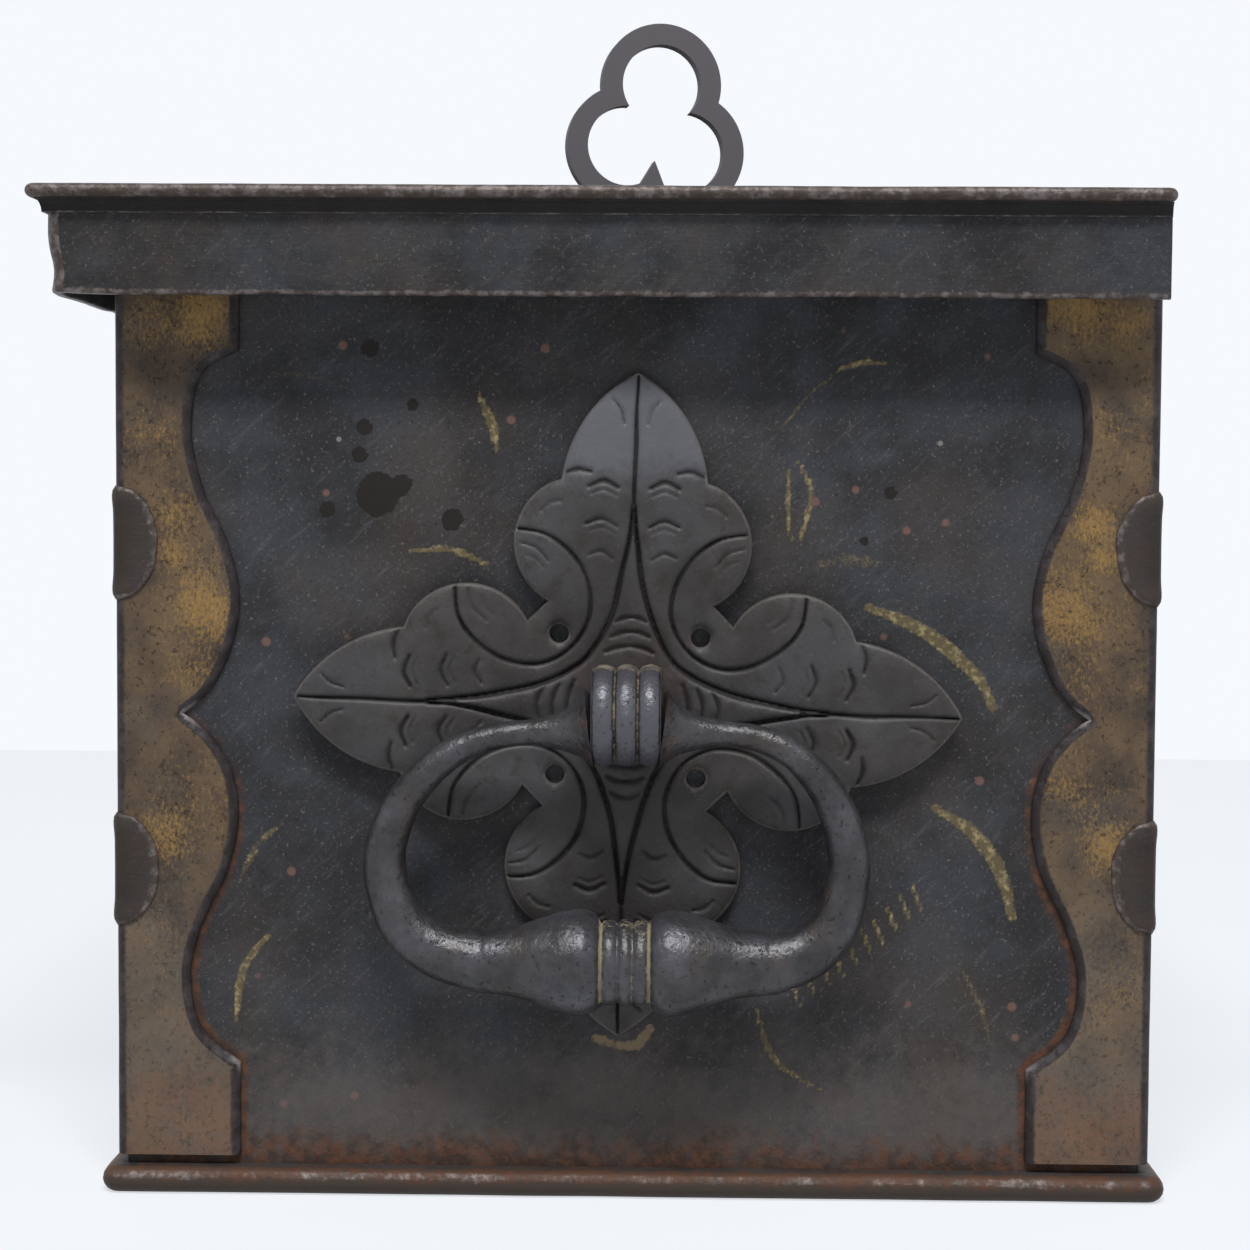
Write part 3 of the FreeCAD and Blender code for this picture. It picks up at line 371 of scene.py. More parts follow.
class Layers:
    """Lays out the nodes of one procedural finish."""

    def __init__(self, name):
        self.material = bpy.data.materials.new(name)
        self.material.use_nodes = True
        self.tree = self.material.node_tree
        self.shader = self.tree.nodes["Principled BSDF"]
        self.place = self.tree.nodes.new("ShaderNodeTexCoord").outputs["Object"]

    def add(self, kind, inputs, **settings):
        """Adds a node, with its settings and with its inputs linked or set."""
        node = self.tree.nodes.new("ShaderNode" + kind)
        for key, value in settings.items():
            setattr(node, key, value)
        for key, value in inputs.items():
            self.join(value, node.inputs[key])
        return node

    def join(self, value, socket):
        """Links a socket to another, or sets its value."""
        if isinstance(value, bpy.types.NodeSocket):
            self.tree.links.new(value, socket)
        else:
            socket.default_value = value

    def grain(self, size, detail=4.0, rough=0.6, stretch=(1.0, 1.0, 1.0), turn=(0.0, 0.0, 0.0), shift=0.0):
        """Noise with patches about a size in millimetres across, drawn out along turned axes."""
        axes = {"Vector": self.place, "Scale": stretch, "Rotation": turn, "Location": (shift, shift, shift)}
        spot = self.add("Mapping", axes, vector_type="TEXTURE").outputs["Vector"]
        return self.add("TexNoise", {"Vector": spot, "Scale": 1 / (size * MM), "Detail": detail,
                                     "Roughness": rough}).outputs["Fac"]

    def specks(self, size, reach):
        """Small scattered round spots: 1 in the middle of each and 0 beyond its reach."""
        cells = self.add("TexVoronoi", {"Vector": self.place, "Scale": 1 / (size * MM)})
        return self.fade(cells.outputs["Distance"], reach, reach * 0.5)

    def fade(self, value, low, high):
        """A smooth step from 0 at the low value to 1 at the high one."""
        return self.add("MapRange", {"Value": value, "From Min": low, "From Max": high},
                        interpolation_type="SMOOTHSTEP").outputs["Result"]

    def span(self, value, low, high):
        """Stretches a value from 0 and 1 to low and high."""
        return self.add("MapRange", {"Value": value, "To Min": low, "To Max": high}).outputs["Result"]

    def calc(self, operation, first, second):
        """One sum of two values."""
        node = self.add("Math", {}, operation=operation)
        self.join(first, node.inputs[0])
        self.join(second, node.inputs[1])
        return node.outputs[0]

    def plus(self, *values):
        """The sum of several values."""
        total = values[0]
        for value in values[1:]:
            total = self.calc("ADD", total, value)
        return total

    def times(self, first, second):
        """The product of two values."""
        return self.calc("MULTIPLY", first, second)

    def mark(self, name):
        """A mark that the piece's own mesh carries."""
        return self.add("Attribute", {}, attribute_name=name).outputs["Fac"]

    def blend(self, share, below, above):
        """A colour between two others."""
        node = self.add("Mix", {0: share}, data_type="RGBA")
        for value, socket in ((below, node.inputs[6]), (above, node.inputs[7])):
            self.join(value if isinstance(value, bpy.types.NodeSocket) else (*value, 1.0), socket)
        return node.outputs[2]

    def ground(self, share, below, above):
        """Starts the tone as a blend of two colours."""
        self.tone = self.blend(share, below, above)

    def coat(self, share, colour, strength=1.0):
        """Lays a colour over the tone so far, at a strength where the share is 1."""
        if strength != 1.0:
            share = self.times(share, strength)
        self.tone = self.blend(share, self.tone, colour)

    def patch(self, size, low, high, **settings):
        """Soft patches: a smooth step over a grain."""
        return self.fade(self.grain(size, **settings), low, high)

    def broken(self, mark, fine, coarse, low, high, fray):
        """A mark whose edge is frayed by a fine grain and worn through by a coarse one."""
        noisy = self.plus(self.mark(mark), self.times(self.plus(self.grain(fine), -0.5), fray),
                          self.times(self.plus(self.grain(coarse, shift=3.1), -0.5), fray))
        return self.fade(noisy, low, high)

    def swayed(self, mark, size, sway, low, high, shift):
        """A smooth step over a mark that a grain strengthens."""
        total = self.plus(self.mark(mark), self.times(self.grain(size, shift=shift), sway))
        return self.fade(total, low, high)

    def rounded(self, radius):
        """The surface's direction with its corners rounded off, by a radius in millimetres."""
        return self.add("Bevel", {"Radius": radius * MM}, samples=4).outputs["Normal"]

    def finish(self, rough, metal=0.0, bump=None, depth=0.1, gloss=0.5, soot=0.0, corners=None):
        """Feeds the shader with the tone under a share of soot, and with a bump of a depth in millimetres."""
        if soot:
            self.coat(soot, (0.0, 0.0, 0.0))
        for value, name in ((self.tone, "Base Color"), (rough, "Roughness"), (metal, "Metallic"),
                            (gloss, "Specular IOR Level")):
            self.join(value, self.shader.inputs[name])
        if bump is not None:
            relief = self.add("Bump", {"Height": bump, "Distance": depth * MM, "Strength": 1.0})
            if corners is not None:
                self.join(corners, relief.inputs["Normal"])
            self.join(relief.outputs["Normal"], self.shader.inputs["Normal"])


def finish_named(name):
    """Keeps one material for each finish, built when the first piece asks for it."""
    def keep(build):
        def get():
            made = bpy.data.materials.get(name)
            if made is None:
                layers = Layers(name)
                build(layers, bpy.context.scene.strongbox_finish)
                made = layers.material
            return made
        get.__doc__ = build.__doc__
        return get
    return keep


def plate_ground(layers, colours, size=26.0):
    """Lays the tone of old waxed plate: blue-grey, drifting to dark and brown, with a fine pale grain."""
    layers.ground(layers.patch(size, 0.36, 0.64), colours.dark_iron, colours.iron)
    layers.coat(layers.patch(size * 1.7, 0.45, 0.7, shift=1.3), colours.brown_iron, 0.45)
    wiped = layers.patch(1.6, 0.52, 0.74, detail=6.0, rough=0.7, stretch=(1.0, 6.0, 1.0),
                         turn=(0.75, 0.0, 0.0), shift=0.6)
    layers.coat(wiped, display_colour(92, 91, 95), 0.34)
    layers.coat(layers.patch(0.8, 0.57, 0.7, rough=0.8), display_colour(122, 116, 115), 0.62)
    pits = layers.patch(0.9, 0.44, 0.3, detail=5.0, rough=0.75, shift=2.2)
    layers.coat(pits, display_colour(24, 24, 25), 0.8)


@finish_named("painted_plate")
def painted_plate(layers, colours):
    """Walls: waxed plate with strokes of worn gilding, etched drops and rust creeping up from the foot."""
    plate_ground(layers, colours)
    layers.coat(layers.specks(13.0, 0.1), display_colour(112, 84, 76), 0.75)
    layers.coat(layers.specks(19.0, 0.04), display_colour(140, 136, 132), 0.6)
    # Paler towards the foot: dust, and painted light that makes up for the lamp's fall-off there
    layers.coat(layers.broken("dust", 3.0, 14.0, 0.2, 1.0, 0.8), display_colour(90, 83, 78), 0.6)
    ruddy = layers.broken("rust", 2.4, 11.0, 0.35, 0.85, 0.8)
    rust = layers.blend(layers.patch(3.0, 0.4, 0.62, detail=6.0), display_colour(62, 46, 39), colours.rust)
    layers.coat(ruddy, rust, 0.9)
    etched = layers.broken("stain", 1.4, 4.0, 0.42, 0.62, 0.8)
    layers.coat(etched, colours.stain, 0.92)
    layers.coat(layers.broken("lime", 1.2, 4.0, 0.4, 0.7, 0.9), display_colour(124, 108, 84), 0.8)
    bright = layers.blend(layers.patch(1.6, 0.45, 0.7, shift=4.0), display_colour(94, 83, 60),
                          display_colour(156, 141, 102))
    gold = layers.broken("gilt", 0.5, 4.0, 0.32, 0.68, 0.62)
    layers.coat(gold, bright, 0.82)
    height = layers.plus(layers.times(layers.grain(0.8, detail=3.0), 0.5), layers.times(gold, 0.35),
                         layers.times(etched, -0.4), layers.grain(5.0),
                         layers.times(ruddy, layers.grain(1.5, shift=0.9)))
    rough = layers.plus(layers.span(layers.grain(9.0), 0.46, 0.66), layers.times(ruddy, 0.12))
    layers.finish(rough, 0.04, height, 0.22, 0.16)


@finish_named("gilded_strap")
def gilded_strap(layers, colours):
    """Corner straps: umber and ochre ground with a dusting of gilding, rubbed to grey iron along the edge."""
    layers.ground(layers.patch(16.0, 0.35, 0.65), colours.umber, colours.ochre)
    layers.coat(layers.patch(24.0, 0.52, 0.72, shift=1.9), display_colour(78, 72, 68), 0.55)
    dust = layers.grain(0.75, detail=5.0, rough=0.75, stretch=(1.0, 1.0, 1.6))
    uneven = layers.times(layers.plus(layers.grain(14.0, detail=6.0, rough=0.7, shift=2.7), -0.5), 2.2)
    share = layers.plus(layers.times(layers.plus(layers.mark("gilt"), uneven), 0.3), dust)
    layers.coat(layers.fade(share, 0.55, 0.9), colours.gilt, 0.8)
    layers.coat(layers.fade(share, 0.88, 1.05), display_colour(182, 150, 96), 0.45)
    spent = layers.patch(1.3, 0.44, 0.32, detail=6.0, rough=0.7, shift=5.0)
    layers.coat(spent, display_colour(40, 34, 30), 0.65)
    # Paler towards the foot: dust, and painted light that makes up for the lamp's fall-off there
    layers.coat(layers.broken("dust", 1.2, 14.0, 0.3, 1.1, 0.9), display_colour(104, 95, 87), 0.6)
    layers.coat(layers.broken("rust", 2.0, 9.0, 0.4, 0.9, 0.8), display_colour(116, 82, 62), 0.5)
    bare = layers.broken("edge", 1.0, 6.0, 0.4, 0.62, 0.2)
    metal = layers.blend(layers.patch(4.0, 0.42, 0.66, shift=0.4), display_colour(48, 43, 43),
                         display_colour(66, 60, 61))
    layers.coat(bare, metal)
    layers.coat(layers.swayed("rub", 5.0, 0.7, 0.85, 1.3, 7.0), colours.worn_iron, 0.75)
    height = layers.plus(layers.times(dust, 0.7), layers.grain(4.0), layers.times(spent, -0.5))
    rough = layers.plus(layers.span(layers.grain(6.0), 0.44, 0.64), layers.times(bare, -0.08))
    layers.finish(rough, layers.span(bare, 0.06, 0.2), height, 0.22, 0.18)


@finish_named("worn_plate")
def worn_plate(layers, colours):
    """Clips, lid, skirt, mouldings and base: dark plate with rubbed edges, rusty where marked."""
    plate_ground(layers, colours, 17.0)
    layers.coat(layers.swayed("brown", 8.0, 1.1, 0.55, 1.3, 2.0), display_colour(66, 57, 51))
    layers.coat(layers.broken("rust", 2.0, 8.0, 0.42, 0.9, 0.8), colours.rust, 0.8)
    # Painted shade: darkens the dished middles of the clips and the hollows of the coves
    layers.coat(layers.mark("shade"), display_colour(22, 20, 19))
    bare = layers.broken("edge", 1.3, 7.0, 0.42, 0.8, 0.9)
    bright = layers.blend(layers.patch(2.5, 0.42, 0.62, shift=3.0), display_colour(78, 68, 63),
                          display_colour(120, 112, 110))
    layers.coat(bare, bright, 0.85)
    drawn = layers.grain(1.6, detail=5.0, rough=0.7, stretch=(2.0, 2.0, 0.5))
    height = layers.plus(layers.times(drawn, 0.8), layers.grain(4.5))
    rough = layers.plus(layers.span(layers.grain(7.0), 0.42, 0.62), layers.times(bare, -0.1))
    layers.finish(rough, layers.span(bare, 0.04, 0.3), height, 0.22, 0.16, 0.13)


@finish_named("chased_leaf")
def chased_leaf(layers, _):
    """Leaf plates: smooth brown-grey iron, black in the chased lines and pale along the cut edge."""
    layers.ground(layers.patch(15.0, 0.36, 0.66), display_colour(52, 49, 48), display_colour(66, 63, 62))
    layers.coat(layers.patch(30.0, 0.45, 0.66, shift=1.1), display_colour(74, 75, 79), 0.5)
    layers.coat(layers.specks(6.0, 0.09), display_colour(38, 34, 32), 0.5)
    layers.coat(layers.patch(0.7, 0.58, 0.7, rough=0.8), display_colour(108, 100, 94), 0.4)
    tarnish = layers.patch(5.0, 0.5, 0.68, detail=6.0, rough=0.7, shift=4.4)
    layers.coat(tarnish, display_colour(52, 44, 40), 0.7)
    # Painted highlight: a lighter, bluish tone laid over the upper lobe
    layers.coat(layers.broken("painted_highlight", 2.0, 12.0, 0.3, 1.0, 0.5), display_colour(98, 99, 105), 0.75)
    layers.coat(layers.broken("rust", 1.8, 7.0, 0.45, 0.95, 0.7), display_colour(88, 60, 44), 0.65)
    frayed = layers.times(layers.plus(layers.grain(1.5), -0.5), 0.4)
    cut = layers.fade(layers.plus(layers.mark("groove"), frayed), 0.3, 0.85)
    layers.coat(cut, display_colour(22, 19, 18), 0.92)
    layers.coat(layers.broken("edge", 1.0, 6.0, 0.5, 0.9, 0.8), display_colour(104, 98, 94), 0.6)
    height = layers.plus(layers.times(layers.grain(0.9), 0.5), layers.grain(5.0))
    rough = layers.plus(layers.span(layers.grain(8.0), 0.4, 0.58), layers.times(cut, 0.15))
    layers.finish(rough, 0.08, height, 0.2, 0.24, 0.08)


@finish_named("forged_handle")
def forged_handle(layers, colours):
    """Handles and staples: burnished forged iron, rusty in the joints, with old polish in the grooves."""
    layers.ground(layers.patch(9.0, 0.36, 0.66), display_colour(46, 45, 47), colours.forged_iron)
    layers.coat(layers.patch(8.0, 0.48, 0.66, detail=6.0, shift=1.5), display_colour(68, 58, 52), 0.7)
    pits = layers.patch(1.3, 0.42, 0.3, detail=6.0, rough=0.75)
    layers.coat(pits, display_colour(28, 26, 26), 0.7)
    layers.coat(layers.swayed("edge", 3.0, 0.7, 0.6, 1.3, 0.8), display_colour(96, 96, 104), 0.8)
    ruddy = layers.broken("rust", 1.6, 5.0, 0.4, 0.9, 0.8)
    layers.coat(ruddy, display_colour(112, 72, 50), 0.75)
    lime = layers.broken("lime", 0.8, 3.0, 0.4, 0.66, 0.7)
    layers.coat(lime, colours.lime, 0.88)
    dull = layers.calc("MAXIMUM", ruddy, lime)
    height = layers.plus(layers.times(layers.grain(1.1), 0.5), layers.grain(3.2), layers.times(pits, -0.5))
    rough = layers.plus(layers.span(layers.grain(5.0, shift=2.0), 0.24, 0.42), layers.times(dull, 0.3))
    layers.finish(rough, layers.span(dull, 0.25, 0.05), height, 0.34, 0.5, 0.28)


@finish_named("plain_forging")
def plain_forging(layers, colours):
    """Hinges, lock work and rivets: plain forged iron, rubbed on its corners."""
    plate_ground(layers, colours, 12.0)
    layers.coat(layers.patch(6.0, 0.56, 0.72, detail=6.0, shift=3.3), colours.rust, 0.5)
    flat = layers.add("NewGeometry", {}).outputs["Normal"]
    kept = layers.add("VectorMath", {0: layers.rounded(0.6), 1: flat}, operation="DOT_PRODUCT")
    bare = layers.times(layers.fade(kept.outputs["Value"], 0.98, 0.85), layers.patch(4.0, 0.4, 0.6))
    layers.coat(bare, colours.worn_iron, 0.7)
    layers.finish(layers.span(layers.grain(5.0), 0.4, 0.6), 0.45, layers.grain(2.0), 0.08, 0.5)


@finish_named("key_iron")
def key_finish(layers, colours):
    """Key: plain grey iron with faint file marks and darker hollows."""
    layers.ground(layers.patch(7.0, 0.36, 0.66), display_colour(74, 71, 74), colours.key_iron)
    layers.coat(layers.patch(1.2, 0.4, 0.28, detail=6.0, rough=0.7), display_colour(44, 41, 41), 0.6)
    layers.coat(layers.patch(5.0, 0.55, 0.72, shift=1.7), display_colour(84, 72, 64), 0.5)
    filed = layers.grain(1.2, stretch=(1.5, 1.5, 0.3))
    height = layers.plus(layers.times(filed, 0.6), layers.grain(3.0))
    rough = layers.span(layers.grain(4.0), 0.42, 0.58)
    layers.finish(rough, 0.12, height, 0.16, 0.25, 0.24, layers.rounded(0.7))


# Corner straps

STRAP_THICK = 2.0
STRAP_BEND = 1.9
# Inner edge of a strap leg, foot to head: width across the face and height, in millimetres
STRAP_LOWER = [(27.4, 29.0), (19.2, 36.0), (16.3, 49.5), (19.0, 60.5), (24.9, 73.0), (27.1, 85.5),
               (24.8, 96.5), (20.2, 103.0), (14.9, 107.2)]
STRAP_UPPER = [(14.9, 107.2), (20.0, 111.5), (24.6, 119.5), (27.4, 133.5), (25.2, 144.0), (19.4, 157.0),
               (16.8, 172.0), (19.6, 183.0), (27.4, 187.5)]
STRAP_CUSP = STRAP_UPPER[0]
STRAP_NODES = {"front_right_strap": (1, -1), "front_left_strap": (-1, -1),
               "rear_right_strap": (1, 1), "rear_left_strap": (-1, 1)}
# Where gilding survives on a leg: width across, height, radius and strength
STRAP_GILDING = [(19.0, 197.0, 8.0, 0.95), (8.0, 193.0, 7.0, 0.6), (13.5, 151.0, 6.0, 1.0),
                 (12.0, 143.0, 5.0, 0.9), (19.5, 130.0, 10.0, 0.8), (18.0, 118.0, 9.0, 0.55),
                 (10.0, 168.0, 12.0, 0.35), (11.0, 79.0, 8.0, 0.65), (17.0, 90.0, 10.0, 0.45),
                 (9.0, 52.0, 12.0, 0.25), (16.0, 14.0, 4.0, 0.6)]
# Width of the bare rim of a strap, and how bare the bend is
STRAP_RIM = 1.6
STRAP_BEND_WEAR = 0.62


def strap_edge(foot, head, step=1.0):
    """Inner edge of a strap leg from its foot to its head, as widths and heights."""
    runs = [np.linspace((STRAP_LOWER[0][0], foot), STRAP_LOWER[0], 16), through(STRAP_LOWER, step),
            through(STRAP_UPPER, step), np.linspace(STRAP_UPPER[-1], (STRAP_UPPER[-1][0], head), 14)]
    return np.vstack([run[:-1] for run in runs[:-1]] + [runs[-1]])


def edge_normals(edge):
    """Directions out of the strap at each point of its inner edge, longer at corners so that insets mitre."""
    ahead = np.diff(edge, axis=0)
    ahead /= np.linalg.norm(ahead, axis=1)[:, None]
    out = np.column_stack((ahead[:, 1], -ahead[:, 0]))
    first, last = np.vstack((out[:1], out)), np.vstack((out, out[-1:]))
    return (first + last) / np.maximum(1 + np.sum(first * last, axis=1), 0.7)[:, None]


def strap_legs(edge, bevel):
    """Rows across one strap leg, from inner edge to bend: widths, levels over the wall and heights."""
    profile = [(0.0, 0.0), (0.0, 0.34), (0.1, 0.5), (0.75, 0.9), (1.1, 1.0)]
    normals = edge_normals(edge)
    columns = []
    for share, level in profile:
        row = edge - normals * (share * bevel)
        columns.append(np.column_stack((row[:, 0], np.full(len(row), level * STRAP_THICK), row[:, 1])))
    run = np.concatenate(([0.0], np.cumsum(np.linalg.norm(np.diff(edge, axis=0), axis=1))))
    level_out = edge[0, 1] + run / run[-1] * (edge[-1, 1] - edge[0, 1])
    bend = np.column_stack((np.full(len(edge), STRAP_BEND), np.full(len(edge), STRAP_THICK),
                            0.6 * edge[:, 1] + 0.4 * level_out))
    for share in np.linspace(0.0, 1.0, 12)[1:]:
        columns.append(columns[len(profile) - 1] * (1 - share) + bend * share)
    return columns


def strap_marks(columns):
    """Wear of one strap leg: bare edge, bright rubbing, gilding and rust at each of its points."""
    marks = {"edge": [], "rub": [], "gilt": [], "rust": [], "dust": []}
    for column in columns:
        place = column[:, [0, 2]]
        depth = np.linalg.norm(place - columns[0][:, [0, 2]], axis=1)
        marks["edge"].append(np.maximum(fade(depth, STRAP_RIM + 0.5, STRAP_RIM - 0.3),
                                        STRAP_BEND_WEAR * fade(place[:, 0], 5.0, 1.0)))
        near = np.exp(-np.linalg.norm(place - STRAP_CUSP, axis=1) / 4.0)
        corners = np.exp(-np.abs(place[:, 1] - STRAP_LOWER[0][1]) / 4.0) * fade(depth, 5.0, 1.0)
        marks["rub"].append((near + 0.7 * corners + 0.25) * fade(depth, STRAP_RIM + 0.4, 0.4))
        gold = np.zeros(len(place))
        for width, height, radius, strength in STRAP_GILDING:
            reach = np.linalg.norm(place - (width, height), axis=1) / radius
            gold = np.maximum(gold, strength * np.exp(-reach ** 2))
        marks["gilt"].append(gold)
        # Paler towards the foot: dust, and painted light that makes up for the lamp's fall-off there
        marks["dust"].append(0.8 * fade(place[:, 1], 112.0, 40.0))
        marks["rust"].append(np.maximum(0.75 * fade(place[:, 1], 50.0, 14.0),
                                        0.55 * fade(depth, 4.0, 0.5) * fade(place[:, 1], 120.0, 60.0)))
    return marks


def build_strap(node, signs):
    """One corner strap: a scalloped band folded round the corner, filed along its edges."""
    shape = bpy.context.scene.strongbox_shape
    low, high = box_range(node)
    edge = strap_edge(low[2], high[2])
    end_face, long_face = (max(abs(low[axis]), abs(high[axis])) for axis in (0, 1))
    columns = strap_legs(edge, shape.strap_bevel / MM)

    def upright(x, y):
        """One line up the bend."""
        return np.full(len(edge), x), np.full(len(edge), y), columns[-1][:, 2]

    end_leg = [(end_face - STRAP_THICK + c[:, 1], long_face - c[:, 0], c[:, 2]) for c in columns]
    long_leg = [(end_face - c[:, 0], long_face - STRAP_THICK + c[:, 1], c[:, 2]) for c in reversed(columns)]
    bend = [upright(end_face - STRAP_BEND * (1 - math.cos(turn)),
                    long_face - STRAP_BEND * (1 - math.sin(turn)))
            for turn in np.linspace(0.0, math.pi / 2, 7)[1:-1]]
    inner = upright(end_face - STRAP_THICK, long_face - STRAP_THICK)
    section = np.array(end_leg + bend + long_leg + [inner])
    points, faces = loft([section[:, :, i] for i in range(len(edge))])
    marks = {}
    for name, legs in strap_marks(columns).items():
        plain = [np.full(len(edge), STRAP_BEND_WEAR if name == "edge" else 0.0)]
        across = np.array(legs + plain * len(bend) + legs[::-1] + plain)
        marks[name] = across.T.ravel()
    dip = shape.hammer_depth / MM * 0.45 * ripple(points, 14.0, 2.0) * fade(marks["edge"], 0.9, 0.3)
    under = np.array((end_face, long_face)) - STRAP_THICK
    push = np.where(points[:, :2] > under + 0.9 * STRAP_THICK, 1.0, 0.0)
    points[:, :2] -= push * np.abs(dip)[:, None]
    points *= (signs[0], signs[1], 1.0)
    make_piece(node.replace("strap", "gilded_strap"), points, faces, gilded_strap(), "case",
               [node], marks, crease=50)


# Clips round the corners

CLIP_HEIGHTS = (145.0, 72.5)
CLIP_HALF = 12.6
CLIP_REACH = 8.8
CLIP_THICK = 1.0


def round_corner(faces_out, place, lift):
    """A point at a distance round a corner from its middle, lifted off the straps."""
    quarter = STRAP_BEND * math.pi / 4
    centre = [face - STRAP_BEND for face in faces_out]
    if place > quarter:
        return centre[0] + STRAP_BEND + lift, centre[1] - (place - quarter)
    if place < -quarter:
        return centre[0] + (place + quarter), centre[1] + STRAP_BEND + lift
    turn = math.pi / 4 - place / STRAP_BEND
    return centre[0] + (STRAP_BEND + lift) * math.cos(turn), centre[1] + (STRAP_BEND + lift) * math.sin(turn)


def build_clips():
    """The eight lens-shaped clips, hammered round the corners over the straps."""
    low, high = box_range("front_right_strap")
    faces_out = (high[0], -low[1])
    points, faces, edge, shade = [], [], [], []
    for number, (height, signs) in enumerate((h, s) for h in CLIP_HEIGHTS for s in STRAP_NODES.values()):
        rings = []
        for level in np.linspace(-1.0, 1.0, 25):
            reach = CLIP_REACH * (1 - level ** 2) ** 0.55 + 0.4
            reach *= 1 + 0.05 * waver(number * 3.1, level * 2.0, 0.0)
            places = np.sin(np.linspace(-math.pi / 2, math.pi / 2, 21)) * reach
            rim = np.minimum((1 - np.abs(places / reach) ** 3.0), 1.0) * fade(abs(level), 1.02, 0.8)
            hollow = 0.35 * np.exp(-(places / (0.5 * reach)) ** 2) * fade(abs(level), 0.9, 0.5)
            lifts = 0.25 + (CLIP_THICK - 0.25) * rim ** 0.4 - hollow
            outer = [round_corner(faces_out, p, lift) for p, lift in zip(places, lifts)]
            inner = [round_corner(faces_out, p, -0.3) for p in places[::-1]]
            ring = np.array(outer + inner)
            z = np.full(len(ring), height + level * CLIP_HALF)
            rings.append(np.column_stack((ring * signs, z)))
            edge.append(np.concatenate((fade(rim, 0.8, 0.3) * 0.7, np.zeros(len(places)))))
            # Painted shade in the dished middle of the clip, deepest where its hollow is deepest
            shade.append(np.concatenate((hollow, np.zeros(len(places)))))
        ring_points, ring_faces = loft(rings)
        start = sum(len(p) for p in points)
        points.append(ring_points)
        faces += [tuple(start + c for c in face) for face in ring_faces]
    points = np.concatenate(points)
    edge = np.concatenate(edge)
    make_piece("corner_clip_lenses", points, faces, worn_plate(), "case", ["corner_clips"],
               {"edge": edge, "brown": np.full(len(points), 0.5), "rust": 0.35 * (1 - edge),
                "shade": np.concatenate(shade)}, crease=60)


# Walls

# Gilded strokes on an end wall: half width, strength, and points across and up, in millimetres
GILT_STROKES = [
    (0.7, 0.55, [(32.0, 171.0), (39.0, 179.5), (46.0, 184.6)]),
    (0.9, 0.85, [(45.0, 184.4), (50.0, 185.6), (54.5, 185.7)]),
    (1.2, 0.95, [(-34.5, 177.5), (-32.0, 172.0), (-30.7, 166.0)]),
    (0.7, 0.38, [(-45.5, 185.6), (-37.0, 181.5), (-33.0, 176.0)]),
    (1.0, 0.8, [(-50.0, 143.3), (-40.0, 143.7), (-32.8, 140.5)]),
    (1.8, 0.95, [(51.4, 131.6), (59.6, 128.6), (70.7, 121.4), (77.5, 113.7), (79.3, 109.7)]),
    (2.2, 0.45, [(39.7, 140.8), (47.3, 142.2), (54.0, 141.4)]),
    (2.0, 0.8, [(66.8, 87.3), (75.7, 81.4), (82.0, 71.4), (84.2, 63.0)]),
    (1.3, 0.5, [(72.3, 52.3), (77.3, 43.3), (79.7, 34.4)]),
    (1.0, 0.7, [(27.3, 42.8), (31.9, 30.5), (42.0, 23.8)]),
    (1.1, 0.85, [(-81.5, 57.5), (-86.7, 50.7), (-88.7, 38.3)]),
    (1.3, 0.5, [(-78.1, 82.7), (-83.7, 77.8), (-87.8, 69.9)]),
    (0.8, 0.4, [(-92.0, 180.0), (-74.3, 182.2), (-56.6, 176.8)]),
]
# A pair of upright strokes that the ends alone carry: drawn out on a long wall they would look like a letter
END_STROKES = [
    (0.8, 0.82, [(33.6, 161.5), (33.5, 154.0), (34.3, 146.5)]),
    (1.0, 0.75, [(35.7, 163.7), (38.6, 157.6), (37.8, 152.0), (36.3, 146.5)]),
]
# A row of slanting dashes beside the handle
DASH_ROW = [(63.0, 67.2), (53.8, 58.8), (43.9, 51.3), (36.2, 45.9)]
DASH_COUNT = 10
DASH_LEAN = np.array((1.2, -3.0))
DASH_HALF_WIDTH = 0.7
DASH_STRENGTH = 0.8
# Drops that etched the plate: across, up and radius
STAINS = [(-57.0, 155.9, 4.6), (-52.0, 157.9, 2.3), (-59.9, 170.8, 1.7), (-61.0, 164.7, 1.7),
          (-68.1, 152.5, 1.7), (-40.6, 150.4, 2.3), (-49.3, 175.7, 1.3), (-58.8, 188.2, 1.8),
          (56.0, 156.8, 1.4), (50.4, 146.4, 1.0)]
# A torn remnant under the lower tip of the leaf
REMNANT = [(-8.0, 35.0), (-4.0, 33.6), (1.0, 33.4), (4.0, 37.5)]
REMNANT_HALF_WIDTH = 2.0
# Walls, the side that each closes, and how the painting is drawn out or mirrored on it
WALLS = {"right_end_wall": ("right", 1.0), "left_end_wall": ("left", -1.0), "front_wall": ("front", 0.64),
         "rear_wall": ("rear", -0.64)}


def stroke_marks(local, on_end):
    """Gilding on a wall: 1 in the middle of a strong stroke and 0 beside it."""
    strokes = [(half, strength, through(points, 2.0))
               for half, strength, points in GILT_STROKES + (END_STROKES if on_end else [])]
    row = through(DASH_ROW, 0.5)
    for place in np.linspace(0, len(row) - 1, DASH_COUNT).astype(int):
        dash = np.array((row[place] - DASH_LEAN, row[place] + DASH_LEAN))
        strokes.append((DASH_HALF_WIDTH, DASH_STRENGTH, dash))
    gilt = np.zeros(len(local))
    for half, strength, line in strokes:
        close = np.all((local > line.min(axis=0) - 5) & (local < line.max(axis=0) + 5), axis=1)
        gap, along = distance_to(local[close], line)
        brush = half * (0.4 + 0.4 * np.sin(math.pi * np.clip(along, 0.08, 0.92)))
        gilt[close] = np.maximum(gilt[close], strength * fade(gap / brush, 1.7, 0.5))
    return gilt


